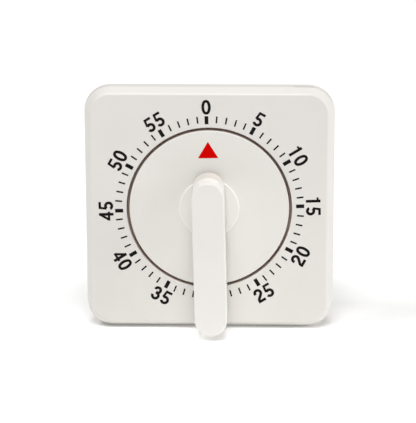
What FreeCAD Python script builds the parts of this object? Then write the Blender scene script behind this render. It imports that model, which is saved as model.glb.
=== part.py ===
"""A square wind-up timer: a moulded case, a turning dial with a long lever grip, and the movement
that it winds, with its bell.

The timer stands on its flat base, upright, and is seen from the front. Lengths are millimetres and
angles are degrees. X runs to the viewer's right, Y runs from the viewer into the case and Z runs up.
The origin is the middle of the base. Depths are named as lifts: a lift is how far a face stands in
front of the middle plane of the case, so a lift of 16 is the front face and one of -16 is the back.
Places in the movement are counted across and up from the axis of the dial.
"""

import FreeCAD, Part
import math
import os
import re

import Sketcher
from FreeCAD import Placement, Rotation, Vector

SIZES = {
    "case_width": (80.0, "width and height of the square case"),
    "corner_round": (8.6, "radius of the case's corners, seen from the front"),
    "face_lift": (16.0, "front face"),
    "seam_lift": (12.95, "parting line between the front cover and the rear shell"),
    "rim_lift": (10.5, "where the rear shell is widest"),
    "back_lift": (-16.0, "flat back"),
    "face_inset": (2.16, "edge of the front face inside the widest outline"),
    "seam_inset": (0.36, "parting line inside the widest outline"),
    "back_half_width": (34.0, "half the width of the back"),
    "back_height": (72.0, "height of the back"),
    "foot_trim": (0.1, "how much is cut off flat under the rear shell, for it to stand on"),
    "wall": (2.0, "moulded wall"),
    "rim_wall": (2.4, "wall of the rear shell at its rim"),
    "tongue_play": (0.1, "gap round the cover's locating tongue"),
    "tongue_wall": (1.2, "thickness of the tongue"),
    "tongue_lift": (11.2, "back edge of the tongue"),
    "axis_height": (40.5, "axis of the dial above the base"),
    "well_radius": (26.5, "round well that the dial turns in"),
    "well_wall": (1.8, "wall and floor of the well"),
    "well_lift": (11.5, "front of the well's floor"),
    "well_hole": (5.2, "hole in the floor for the knob's stem"),
    "notch_across": (30.0, "middle of the pry notch in the parting line"),
    "notch_length": (6.4, "length of the pry notch"),
    "notch_width": (0.45, "width of the pry notch"),
    "notch_depth": (1.0, "depth of the pry notch"),
    "dial_radius": (25.55, "edge of the dial"),
    "dial_skin": (1.6, "thickness of the dial's face"),
    "dial_skirt": (1.25, "wall of the skirt behind the dial's edge"),
    "dial_skirt_lift": (12.7, "back edge of the skirt"),
    "dial_round": (0.3, "rounding of the dial's edge"),
    "dial_boss": (6.0, "boss behind the middle of the dial"),
    "dial_boss_lift": (12.9, "back of that boss"),
    "hub_radius": (9.63, "low round hub in front of the dial"),
    "hub_rise": (0.4, "rise of the hub above the dial"),
    "stem_radius": (3.4, "stem of the knob, through the dial"),
    "stem_lift": (10.9, "back end of the stem"),
    "lever_front": (29.4, "front of the lever grip"),
    "lever_waist": (22.2, "lift of the step in the grip's sides"),
    "lever_under": (16.8, "underside of the grip, clear of the case"),
    "lever_half_width": (5.15, "half the width of the grip"),
    "lever_step": (0.45, "how far the lower half of the grip is set in"),
    "lever_top": (11.7, "top end of the grip above the axis"),
    "lever_bottom": (38.8, "bottom end of the grip below the axis"),
    "lever_round": (0.45, "rounding of the grip's front edge"),
    "pointer_turn": (1.4, "rest angle of the dial, anticlockwise"),
    "shaft_radius": (1.5, "main arbor, front end"),
    "shaft_flat": (1.0, "flat on the front end, from the axis"),
    "shaft_front": (20.0, "front tip of the main arbor"),
    "flat_back": (10.75, "back end of the flat"),
    "bore_play": (0.03, "radial play of the knob on the arbor"),
    "collar_radius": (2.4, "collar that carries the mainspring"),
    "collar_front": (8.05, "front of the collar"),
    "collar_back": (4.05, "back of the collar"),
    "wheel_seat": (1.8, "seat of the ratchet and the main wheel"),
    "seat_back": (2.0, "back of that seat"),
    "cam_seat": (1.6, "seat of the alarm cam"),
    "main_pivot": (1.0, "back pivot of the main arbor"),
    "running_play": (0.05, "radial play of a pivot in its hole"),
    "plate_front": (9.4, "front of the front plate"),
    "plate_gap_front": (8.4, "back of the front plate"),
    "plate_gap_back": (-2.6, "front of the back plate"),
    "plate_back": (-3.6, "back of the back plate"),
    "plate_half_width": (30.0, "half the width of the front plate"),
    "plate_up": (22.0, "top of the front plate above the axis"),
    "plate_down": (26.5, "bottom of the front plate below the axis"),
    "plate_round": (3.0, "corners of the plates"),
    "rear_half_width": (25.0, "half the width of the back plate"),
    "rear_up": (15.6, "top of the back plate above the axis"),
    "rear_down": (21.6, "bottom of the back plate below the axis"),
    "shoulder_play": (0.1, "end play of an arbor between the plates"),
    "pivot_out": (0.3, "how far a pivot stands out of its plate"),
    "bush_flange": (4.4, "flange of the front bush"),
    "bush_body": (3.0, "body of the front bush"),
    "bush_front": (10.6, "front of the bush"),
    "bush_back": (8.2, "back of the bush"),
    "pillar_radius": (2.0, "pillars between the plates"),
    "tenon_radius": (1.2, "riveted front ends of the pillars"),
    "pillar_thread": (4.0, "depth of the thread in a pillar"),
    "plate_screw_reach": (3.5, "length of a plate screw in that thread"),
    "pillar_across": (22.5, "pillars, from the axis"),
    "pillar_up": (13.0, "upper pillars"),
    "pillar_down": (19.0, "lower pillars"),
    "fixing_across": (27.3, "screws that hold the movement, from the axis"),
    "fixing_up": (19.3, "upper movement screws"),
    "fixing_down": (23.8, "lower movement screws"),
    "fixing_reach": (4.0, "length of a movement screw in front of the plate"),
    "small_screw": (1.0, "shank radius of the small screws"),
    "small_head": (1.9, "head radius of the small screws"),
    "small_head_rise": (1.1, "head height of the small screws"),
    "post_radius": (2.6, "moulded posts in the cover"),
    "case_screw": (1.1, "shank radius of the case screws"),
    "case_head": (2.1, "head radius of the case screws"),
    "case_head_rise": (1.5, "head height of the case screws"),
    "case_screw_across": (27.0, "case screws, from the middle"),
    "case_screw_low": (8.0, "lower case screws above the base"),
    "case_screw_high": (67.0, "upper case screws above the base"),
    "case_screw_seat": (2.0, "lift of the seat under a case screw's head"),
    "case_screw_tip": (13.2, "front tip of a case screw"),
    "case_boss": (3.4, "bosses round the case screws"),
    "well_play": (0.3, "gap round a case screw's head"),
    "magnet_radius": (10.0, "magnet in the back"),
    "magnet_rise": (1.5, "thickness of the magnet"),
    "magnet_height": (36.0, "middle of the magnet above the base"),
    "magnet_play": (0.1, "gap round the magnet"),
    "slot_ring": (17.0, "ring of sound slots round the magnet"),
    "slot_length": (9.0, "length of a sound slot"),
    "slot_width": (1.8, "width of a sound slot"),
    "slot_count": (8, "number of sound slots"),
    "module_one": (0.5, "tooth size of the main wheel"),
    "module_two": (0.4, "tooth size of the second and third wheels"),
    "main_teeth": (60, "main wheel"),
    "second_teeth": (56, "second wheel"),
    "third_teeth": (50, "third wheel"),
    "leaves": (8, "leaves of every pinion"),
    "addendum": (1.35, "tooth above the pitch circle, in tooth sizes"),
    "tooth_root": (1.2, "gap of a wheel below its pitch circle, in tooth sizes"),
    "leaf_root": (1.75, "gap of a pinion below its pitch circle, in tooth sizes"),
    "leaf_half": (0.525, "half the thickness of a leaf, in tooth sizes"),
    "gap_over": (0.4, "how far a gap is cut beyond the tips, in tooth sizes"),
    "gap_crown": (1.1, "outer point of a cut gap, as a share of its outer radius"),
    "cut_over": (1.0, "how far an open cut runs past the edge that it opens"),
    "tip_over": (0.2, "how far a ratchet or escape gap is cut beyond the tips"),
    "point_half": (0.09, "half the thickness that a tooth comes to there, in tooth sizes"),
    "wheel_plate": (0.8, "thickness of a wheel"),
    "second_way": (200.0, "direction of the second arbor from the main one"),
    "third_way": (-46.0, "direction of the third arbor from the second"),
    "escape_way": (-13.0, "direction of the escape arbor from the third"),
    "pallet_way": (20.0, "direction of the pallet arbor from the escape arbor"),
    "pallet_reach": (8.5, "distance of the pallet arbor from the escape arbor"),
    "main_wheel_lift": (2.1, "back of the main wheel"),
    "ratchet_lift": (3.0, "back of the ratchet wheel"),
    "ratchet_plate": (1.0, "thickness of the ratchet wheel and the click"),
    "ratchet_radius": (7.0, "tips of the ratchet teeth"),
    "ratchet_root": (5.9, "roots of the ratchet teeth"),
    "ratchet_teeth": (24, "ratchet teeth"),
    "ratchet_land": (1.5, "flat tip of a ratchet tooth, in degrees"),
    "click_reach": (11.2, "click pivot from the axis"),
    "click_way": (102.0, "direction of the click pivot from the axis"),
    "click_boss": (1.7, "boss of the click"),
    "click_pin": (0.7, "rivet of the click"),
    "rivet_head": (1.2, "head radius of that rivet"),
    "rivet_rise": (0.2, "head height of that rivet"),
    "click_strip": (0.7, "width of the click's spring"),
    "cam_lift": (1.1, "back of the alarm cam"),
    "cam_radius": (6.5, "rim of the alarm cam"),
    "cam_notch_side": (0.2, "steep side of the cam's notch, from its middle line"),
    "cam_notch_play": (0.3, "gap under the fallen tail"),
    "second_wheel_lift": (-1.7, "back of the second wheel"),
    "third_wheel_lift": (-0.3, "back of the third wheel"),
    "escape_wheel_lift": (4.7, "back of the escape wheel"),
    "escape_radius": (6.0, "tips of the escape wheel's teeth"),
    "escape_root": (4.9, "roots of the escape wheel's teeth"),
    "escape_teeth": (24, "escape wheel"),
    "escape_rake": (2.0, "rake and flat tip of an escape tooth, in degrees"),
    "anchor_over": (0.1, "how far the anchor stands out beyond the escape wheel, each side"),
    "second_shaft": (0.9, "second arbor"),
    "third_shaft": (0.6, "third arbor"),
    "escape_shaft": (0.7, "escape and pallet arbors"),
    "second_pivot": (0.5, "pivots of the second arbor"),
    "fine_pivot": (0.4, "pivots of the faster arbors"),
    "pinion_side": (0.4, "how far a pinion stands out beyond its wheel, each side"),
    "hole_share": (0.186, "round hole of a wheel, as a share of its pitch radius"),
    "hole_ring": (0.55, "ring of those holes, as a share of the pitch radius"),
    "hole_count": (5, "holes of a wheel"),
    "hammer_across": (14.0, "hammer arbor across from the axis"),
    "hammer_up": (9.5, "hammer arbor above the axis"),
    "hammer_shaft": (1.0, "hammer arbor"),
    "hammer_pivot": (0.8, "pivots of the hammer arbor"),
    "hammer_end": (-5.6, "back end of the hammer arbor"),
    "hammer_boss": (1.9, "bosses of the hammer's arm and tail"),
    "hammer_drop": (6.0, "fall of the hammer"),
    "tail_play": (0.1, "gap between the tail and the cam's rim"),
    "tail_plate": (0.6, "thickness of the tail"),
    "tail_lift": (1.2, "back of the tail"),
    "tail_root": (1.7, "width of the tail at its boss"),
    "tail_tip": (0.8, "width of the tail at its tip"),
    "tail_over": (0.3, "how far the tail reaches past its touching point"),
    "arm_front": (-4.2, "front of the hammer's arm"),
    "arm_back": (-5.2, "back of the hammer's arm"),
    "arm_length": (14.6, "hammer's arm, axis to head"),
    "arm_half_width": (0.9, "half the width of the arm"),
    "head_radius": (1.4, "hammer's head"),
    "head_back": (-7.6, "back of the hammer's head"),
    "head_rivet": (0.54, "rivet of the hammer's head"),
    "bell_up": (6.0, "middle of the bell above the axis"),
    "bell_radius": (22.0, "rim of the bell"),
    "bell_wall": (1.0, "thickness of the bell"),
    "bell_rim": (-4.7, "front edge of the bell"),
    "bell_crown": (-11.8, "back of the bell"),
    "bell_draft": (0.5, "how much narrower the bell is at its crown"),
    "bell_round": (4.0, "outside rounding between the bell's side and its crown"),
    "bell_post_radius": (2.5, "post of the bell"),
    "bell_thread": (3.0, "depth of the thread in that post"),
    "bell_screw_reach": (2.5, "length of the bell's screw in that thread"),
    "spring_inner": (2.9, "inside of the mainspring"),
    "spring_pitch": (1.4, "step of the mainspring from turn to turn"),
    "spring_turns": (6, "turns of the mainspring"),
    "spring_strip": (0.35, "thickness of the mainspring"),
    "spring_front": (8.0, "front edge of the mainspring"),
    "spring_back": (4.3, "back edge of the mainspring"),
    "spring_post_radius": (0.9, "post that holds the mainspring's outer end"),
    "spring_play": (0.03, "play of the spring's hook on its post"),
}

OUTLINES = {
    "pawl": {
        "note": "click, from its pivot",
        "shoulder": (0.6, 1.5),
        "nose": (4.0, -3.8),
        "tip": (3.7, -4.95),
        "hook": (2.8, -3.9),
        "heel": (-0.3, -1.6),
    },
    "wire": {
        "note": "click's spring, from the axis",
        "foot": (10.6, 1.6),
        "knee": (9.3, 6.2),
        "bend": (5.4, 8.9),
        "end": (0.45, 9.2),
        "outer_end": (0.35, 9.5),
        "outer_bend": (5.5, 9.25),
        "outer_knee": (9.7, 6.4),
        "outer_foot": (11.8, 1.6),
    },
    "anchor": {
        "note": "right half of the anchor, from its arbor",
        "top": (1.6, 1.3),
        "shoulder": (5.0, -0.6),
        "elbow": (6.3, -3.2),
        "toe": (5.9, -4.0),
        "pallet": (4.37, -3.29),
        "armpit": (3.9, -2.1),
        "hip": (1.4, -1.3),
    },
    "leaf": {
        "note": "hammer's spring, from the axis",
        "foot": (5.0, 10.0),
        "fold": (7.4, 10.0),
        "neck": (7.4, 11.2),
        "end": (12.75, 0.6),
        "outer_end": (12.95, 0.8),
        "outer_neck": (7.7, 12.4),
        "outer_foot": (5.0, 12.4),
    },
}

document = FreeCAD.newDocument("wind_up_timer")
sheet = document.addObject("Spreadsheet::Sheet", "Sizes")
for outline, points in OUTLINES.items():
    note = points.pop("note")
    for point, (across, up) in points.items():
        SIZES[f"{outline}_{point}_across"] = (across, note)
        SIZES[f"{outline}_{point}_up"] = (up, note)
for row, (alias, (amount, note)) in enumerate(SIZES.items(), start=1):
    sheet.set(f"A{row}", alias)
    sheet.set(f"B{row}", str(amount))
    sheet.set(f"C{row}", note)
    sheet.setAlias(f"B{row}", alias)
document.recompute()

ALIAS = re.compile(r"\b(" + "|".join(SIZES) + r")\b")
DEPTH_AXIS = "Y_Axis"
FRONT_PLANE = "XZ_Plane"
TURN_PLANE = "XY_Plane"
TOWARDS_VIEWER = Vector(0, -1, 0)
MAIN = ("0", "axis_height")
LOOSE = 10.0  # size of a sketch before its constraints pull it into place
CLOSE = 0.01  # two lifts nearer than this are the same


def size(alias):
    """Give a driving dimension as a number."""
    return float(sheet.get(alias))


def bind(item, path, formula):
    """Tie a property of an object to a formula of driving dimensions."""
    item.setExpression(path, ALIAS.sub(r"Sizes.\g<0>", formula))


def origin_part(body, role):
    """Find one of a body's own origin planes or axes."""
    return next(part for part in body.Origin.OriginFeatures if part.Role == role)


def step_from(place, reach, way):
    """Give the place at a distance and a direction from another one."""
    across, up = place
    return (f"{across} + ({reach}) * cos({way})", f"{up} + ({reach}) * sin({way})")


def polar(radius, angle):
    """Give a point of a sketch by its radius and its angle clockwise from the top."""
    return (f"({radius}) * sin({angle})", f"({radius}) * cos({angle})")


def outline_points(outline):
    """Give the points of a named outline."""
    return [(f"{outline}_{point}_across", f"{outline}_{point}_up") for point in OUTLINES[outline]]


class Profile:
    """A fully constrained sketch on one of a body's own origin planes, and the features made from it."""

    def __init__(self, body, name, lift="0", plane=FRONT_PLANE):
        self.body = body
        self.name = name
        self.sketch = body.newObject("Sketcher::SketchObject", name)
        self.sketch.AttachmentSupport = (origin_part(body, plane), [""])
        self.sketch.MapMode = "FlatFace"
        if lift != "0":
            bind(self.sketch, "AttachmentOffset.Base.z", lift)

    def constrain(self, *terms):
        """Add a constraint without a size."""
        return self.sketch.addConstraint(Sketcher.Constraint(*terms))

    def dimension(self, *terms, formula):
        """Add a constraint whose size follows a formula."""
        bind(self.sketch, f"Constraints[{self.constrain(*terms)}]", formula)

    def pin(self, edge, end, point):
        """Hold one point of an edge at a place counted from the sketch's origin."""
        self.dimension("DistanceX", -1, 1, edge, end, 1.0, formula=point[0])
        self.dimension("DistanceY", -1, 1, edge, end, 1.0, formula=point[1])

    def circle(self, radius, centre=("0", "0")):
        """Draw a circle."""
        ring = Part.Circle(Vector(0, 0, 0), Vector(0, 0, 1), 1)
        edge = self.sketch.addGeometry(ring, False)
        self.dimension("Radius", edge, 1.0, formula=radius)
        self.pin(edge, 3, centre)

    def polygon(self, corners):
        """Draw a closed outline of straight edges."""
        turns = [2 * math.pi * index / len(corners) for index in range(len(corners))]
        loose = [Vector(LOOSE * math.cos(turn), LOOSE * math.sin(turn), 0) for turn in turns]
        edges = [
            self.sketch.addGeometry(Part.LineSegment(loose[index - 1], loose[index]), False)
            for index in range(len(corners))
        ]
        for index, edge in enumerate(edges):
            self.constrain("Coincident", edges[index - 1], 2, edge, 1)
            self.pin(edge, 2, corners[index])

    def rounded_box(self, left, right, bottom, top, radius):
        """Draw an upright rectangle with rounded corners."""
        far = LOOSE
        near = 0.7 * LOOSE
        signs = [(1, 1), (-1, 1), (-1, -1), (1, -1)]
        arcs = []
        for quarter, (side, rise) in enumerate(signs):
            ring = Part.Circle(Vector(side * near, rise * near, 0), Vector(0, 0, 1), far - near)
            arc = Part.ArcOfCircle(ring, quarter * math.pi / 2, (quarter + 1) * math.pi / 2)
            arcs.append(self.sketch.addGeometry(arc, False))
        ends = [
            (Vector(near, far, 0), Vector(-near, far, 0)),
            (Vector(-far, near, 0), Vector(-far, -near, 0)),
            (Vector(-near, -far, 0), Vector(near, -far, 0)),
            (Vector(far, -near, 0), Vector(far, near, 0)),
        ]
        sides = [self.sketch.addGeometry(Part.LineSegment(*pair), False) for pair in ends]
        for quarter, side in enumerate(sides):
            self.constrain("Tangent", arcs[quarter], 2, side, 1)
            self.constrain("Tangent", side, 2, arcs[(quarter + 1) % 4], 1)
            self.constrain("Vertical" if quarter % 2 else "Horizontal", side)
            if quarter:
                self.constrain("Equal", arcs[0], arcs[quarter])
        self.dimension("Radius", arcs[0], far - near, formula=radius)
        self.dimension("DistanceY", -1, 1, sides[0], 1, far, formula=top)
        self.dimension("DistanceX", -1, 1, sides[1], 1, -far, formula=left)
        self.dimension("DistanceY", -1, 1, sides[2], 1, -far, formula=bottom)
        self.dimension("DistanceX", -1, 1, sides[3], 1, far, formula=right)

    def stadium(self, half_width, top, bottom, rough):
        """Draw an upright bar with half-round ends; rough holds numbers near the three formulas."""
        radius = rough[0]
        high = rough[1] - radius
        low = rough[2] + radius
        down = Part.LineSegment(Vector(-radius, high, 0), Vector(-radius, low, 0))
        up = Part.LineSegment(Vector(radius, low, 0), Vector(radius, high, 0))
        left = self.sketch.addGeometry(down, False)
        right = self.sketch.addGeometry(up, False)
        bows = [
            (0, high, right, left, f"{top} - ({half_width})"),
            (math.pi, low, left, right, f"{bottom} + ({half_width})"),
        ]
        for start, rise, before, after, level in bows:
            ring = Part.Circle(Vector(0, rise, 0), Vector(0, 0, 1), radius)
            arc = self.sketch.addGeometry(Part.ArcOfCircle(ring, start, start + math.pi), False)
            self.constrain("Tangent", before, 2, arc, 1)
            self.constrain("Tangent", arc, 2, after, 1)
            self.pin(arc, 3, ("0", level))
        self.constrain("Vertical", left)
        self.dimension("DistanceX", -1, 1, right, 1, radius, formula=half_width)

    def flatted_circle(self, radius, flat):
        """Draw a circle with a flat on its right side."""
        ring = Part.Circle(Vector(0, 0, 0), Vector(0, 0, 1), LOOSE)
        bow = self.sketch.addGeometry(Part.ArcOfCircle(ring, math.pi / 4, -math.pi / 4), False)
        side = LOOSE / math.sqrt(2)
        line = Part.LineSegment(Vector(side, -side, 0), Vector(side, side, 0))
        chord = self.sketch.addGeometry(line, False)
        self.constrain("Coincident", bow, 2, chord, 1)
        self.constrain("Coincident", chord, 2, bow, 1)
        self.constrain("Vertical", chord)
        self.dimension("Radius", bow, LOOSE, formula=radius)
        self.pin(bow, 3, ("0", "0"))
        self.dimension("DistanceX", -1, 1, chord, 1, side, formula=flat)

    def feature(self, kind, suffix):
        """Make a feature of the body from the sketch."""
        document.recompute()
        made = self.body.newObject(f"PartDesign::{kind}", f"{self.name}_{suffix}")
        made.Profile = self.sketch
        return made

    def pad(self, length):
        """Raise the sketch towards the viewer."""
        made = self.feature("Pad", "pad")
        bind(made, "Length", length)
        document.recompute()
        return made

    def pocket(self, length):
        """Cut the sketch away from the viewer, into the body."""
        made = self.feature("Pocket", "pocket")
        bind(made, "Length", length)
        document.recompute()
        return made

    def turn(self):
        """Turn the sketch about the body's own front-to-back axis."""
        made = self.feature("Revolution", "turned")
        made.ReferenceAxis = (origin_part(self.body, DEPTH_AXIS), [""])
        made.Angle = 360
        document.recompute()
        return made


def new_body(label, place=MAIN, turn=None):
    """Start a sub-part at a place across and up, turned anticlockwise by an angle."""
    body = document.addObject("PartDesign::Body", label)
    body.Label = label
    if turn is not None:
        body.Placement = Placement(Vector(0, 0, 0), Rotation(TOWARDS_VIEWER, 1))
        bind(body, "Placement.Rotation.Angle", turn)
    bind(body, "Placement.Base.x", place[0])
    bind(body, "Placement.Base.z", place[1])
    return body


def turned(body, name, steps):
    """Turn a stepped shaft from its (radius, back lift, front lift) steps, listed from back to front."""
    corners = [("0", f"-({steps[0][1]})")]
    for radius, back, front in steps:
        corners += [(radius, f"-({back})"), (radius, f"-({front})")]
    corners.append(("0", f"-({steps[-1][2]})"))
    profile = Profile(body, name, plane=TURN_PLANE)
    profile.polygon(corners)
    return profile.turn()


def rounded(body, feature, lift, radius, reach=0.0):
    """Round the edges of a feature that lie at one lift, apart from rings narrower than a reach."""
    edges = [
        f"Edge{index}"
        for index, edge in enumerate(feature.Shape.Edges, start=1)
        if abs(edge.BoundBox.YMin + lift) < CLOSE
        and abs(edge.BoundBox.YMax + lift) < CLOSE
        and edge.BoundBox.XLength >= reach
    ]
    rounding = body.newObject("PartDesign::Fillet", f"{feature.Name}_round")
    rounding.Base = (feature, edges)
    bind(rounding, "Radius", radius)
    document.recompute()
    return rounding


def repeated(body, feature, count):
    """Repeat a feature round the body's own axis."""
    pattern = body.newObject("PartDesign::PolarPattern", f"{feature.Name}_round")
    pattern.Originals = [feature]
    pattern.Axis = (origin_part(body, DEPTH_AXIS), [""])
    pattern.Angle = 360
    bind(pattern, "Occurrences", count)
    body.Tip = pattern
    document.recompute()
    return pattern


def cut_teeth(body, name, front, depth, count, shape):
    """Cut the gaps between teeth; shape lists (radius, half angle) from the root of a gap outwards."""
    gap = Profile(body, name, lift=front)
    right = [polar(radius, angle) for radius, angle in shape]
    left = [polar(radius, f"-({angle})") for radius, angle in reversed(shape)]
    gap.polygon(right + [polar(f"gap_crown * {shape[-1][0]}", "0")] + left)
    return repeated(body, gap.pocket(depth), count)


def tooth_gap(module, teeth, root, half, rise):
    """Give the gap between teeth with radial flanks and tapered tips; half a tooth is in degrees."""
    pitch = f"({module} * {teeth} / 2)"
    outside = f"({pitch} + ({rise} + gap_over) * {module})"
    flank = f"180 / {teeth} - {half}"
    point = f"180 / {teeth} - asin(point_half * {module} / {outside}) / 1 deg"
    return [(f"{pitch} - {root} * {module}", flank), (pitch, flank), (outside, point)]


def wheel_gap(module, teeth):
    """Give the gap of a wheel, whose teeth are as thick as its gaps on the pitch circle."""
    return tooth_gap(module, teeth, "tooth_root", f"90 / {teeth}", "addendum")


def leaf_gap(module):
    """Give the gap of a pinion, whose leaves are thin and rise little above the pitch circle."""
    return tooth_gap(module, "leaves", "leaf_root", "asin(2 * leaf_half / leaves) / 1 deg", "leaf_half")


def wheel(label, place, turn, module, teeth, lift, bore):
    """Cut a brass wheel with its teeth, its bore and its ring of holes."""
    body = new_body(label, place, turn)
    pitch = f"({module} * {teeth} / 2)"
    blank = Profile(body, f"{label}_blank", lift=lift)
    blank.circle(f"{pitch} + addendum * {module}")
    blank.circle(bore)
    blank.pad("wheel_plate")
    holes = Profile(body, f"{label}_hole", lift=f"{lift} + wheel_plate")
    holes.circle(f"{pitch} * hole_share", polar(f"{pitch} * hole_ring", "90"))
    repeated(body, holes.pocket("wheel_plate"), "hole_count")
    front = f"{lift} + wheel_plate"
    cut_teeth(body, f"{label}_gap", front, "wheel_plate", teeth, wheel_gap(module, teeth))
    return body


def pinion_arbor(label, place, turn, module, lift, shaft, pivot):
    """Turn an arbor with its two pivots and cut its pinion beside the wheel that drives it."""
    body = new_body(label, place, turn)
    back = f"({lift} - pinion_side)"
    front = f"({lift} + wheel_plate + pinion_side)"
    tip = f"{module} * leaves / 2 + leaf_half * {module}"
    turned(body, f"{label}_shaft", [
        (pivot, "plate_back - pivot_out", "plate_gap_back + shoulder_play"),
        (shaft, "plate_gap_back + shoulder_play", back),
        (tip, back, front),
        (shaft, front, "plate_gap_front - shoulder_play"),
        (pivot, "plate_gap_front - shoulder_play", "plate_front + pivot_out"),
    ])
    cut_teeth(body, f"{label}_leaf", front, f"{front} - {back}", "leaves", leaf_gap(module))
    return body


def rod(name, radius, back, front, place):
    """Make a round bar from one lift to another."""
    bar = document.addObject("Part::Cylinder", name)
    bar.Placement = Placement(Vector(0, 0, 0), Rotation(Vector(1, 0, 0), 90))
    bind(bar, "Radius", radius)
    bind(bar, "Height", f"({front}) - ({back})")
    bind(bar, "Placement.Base.x", place[0])
    bind(bar, "Placement.Base.y", f"-({back})")
    bind(bar, "Placement.Base.z", place[1])
    return bar


def joined(name, pieces):
    """Fuse primitives that belong to one piece."""
    whole = document.addObject("Part::MultiFuse", name)
    whole.Shapes = pieces
    return whole


def group(label, pieces):
    """Keep alike pieces together in one sub-part, each its own solid."""
    kept = document.addObject("Part::Compound", label)
    kept.Label = label
    kept.Links = pieces
    return kept


def screws(label, places, head, shank, head_back, head_front, tip):
    """Make a set of like screws; the head is behind and the shank runs forward."""
    made = []
    for index, place in enumerate(places, start=1):
        cap = rod(f"{label}_head_{index}", head, head_back, head_front, place)
        stem = rod(f"{label}_stem_{index}", shank, head_front, tip, place)
        made.append(joined(f"{label}_{index}", [cap, stem]))
    return group(label, made)


def four(across, low, high):
    """Give four places, two each side of the middle."""
    return [(f"{side}({across})", height) for side in ("-", "") for height in (low, high)]


CASE_SCREWS = four("case_screw_across", "case_screw_low", "case_screw_high")
FIXINGS = four("fixing_across", "axis_height - fixing_down", "axis_height + fixing_up")
PILLARS = four("pillar_across", "axis_height - pillar_down", "axis_height + pillar_up")
CLICK = step_from(MAIN, "click_reach", "click_way")
SECOND = step_from(MAIN, "module_one * (main_teeth + leaves) / 2", "second_way")
THIRD = step_from(SECOND, "module_two * (second_teeth + leaves) / 2", "third_way")
ESCAPE = step_from(THIRD, "module_two * (third_teeth + leaves) / 2", "escape_way")
PALLET = step_from(ESCAPE, "pallet_reach", "pallet_way")
HAMMER = ("hammer_across", "axis_height + hammer_up")
BELL = ("0", "axis_height + bell_up")
SPRING_END = "spring_inner + spring_strip + (2 * spring_turns - 1) * spring_pitch / 2 + spring_pitch / 4"
SPRING_POST = (f"{SPRING_END} + spring_play + spring_post_radius", "axis_height")

MAIN_TURN = "second_way - 90 - 180 / main_teeth"
SECOND_TURN = "third_way - 90 - 180 / second_teeth"
THIRD_TURN = "escape_way - 90 - 180 / third_teeth"

HAMMER_REACH = "sqrt(hammer_across * hammer_across + hammer_up * hammer_up)"
HAMMER_WAY = "(atan(hammer_up / hammer_across) / 1 deg)"
TAIL_TOUCH = f"(acos((cam_radius + tail_play) / {HAMMER_REACH}) / 1 deg)"
TAIL_LENGTH = f"sqrt(pow({HAMMER_REACH}; 2) - pow(cam_radius + tail_play; 2))"
TAIL_TURN = f"{HAMMER_WAY} + {TAIL_TOUCH}"


def case_outline(profile, inset):
    """Draw the case's outline, drawn in from its widest line by an inset."""
    half = f"case_width / 2 - ({inset})"
    profile.rounded_box(f"-({half})", half, inset, f"case_width - ({inset})", f"corner_round - ({inset})")


def front_cover():
    """Mould the front cover: a bevelled face, the dial's well, a tongue and the posts behind."""
    body = new_body("front_cover", ("0", "0"))
    face = Profile(body, "cover_face", lift="face_lift")
    case_outline(face, "face_inset")
    plate = face.pad("face_lift - seam_lift")
    plate.Reversed = True
    bind(plate, "TaperAngle", "atan((face_inset - seam_inset) / (face_lift - seam_lift))")
    tongue = Profile(body, "cover_tongue", lift="tongue_lift")
    case_outline(tongue, "rim_wall + tongue_play")
    tongue.pad("seam_lift - tongue_lift")
    hollow = Profile(body, "cover_hollow", lift="face_lift - wall")
    case_outline(hollow, "rim_wall + tongue_play + tongue_wall")
    hollow.pocket("face_lift - wall - tongue_lift")
    cup = Profile(body, "cover_cup", lift="well_lift - well_wall")
    cup.circle("well_radius + well_wall", MAIN)
    cup.pad("face_lift - wall / 2 - well_lift + well_wall")
    well = Profile(body, "cover_well", lift="face_lift")
    well.circle("well_radius", MAIN)
    well.pocket("face_lift - well_lift")
    hole = Profile(body, "cover_hole", lift="well_lift")
    hole.circle("well_hole", MAIN)
    hole.pocket("well_wall")
    posts = Profile(body, "cover_posts", lift="plate_front")
    for place in FIXINGS:
        posts.circle("post_radius", place)
    posts.pad("face_lift - wall / 2 - plate_front")
    bosses = Profile(body, "cover_bosses", lift="tongue_lift")
    for place in CASE_SCREWS:
        bosses.circle("case_boss", place)
    bosses.pad("face_lift - wall / 2 - tongue_lift")
    pilots = Profile(body, "cover_pilots", lift="face_lift - wall")
    for place in FIXINGS:
        pilots.circle("small_screw", place)
    for place in CASE_SCREWS:
        pilots.circle("case_screw", place)
    pilots.pocket("face_lift - wall - plate_front")
    return body


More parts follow.
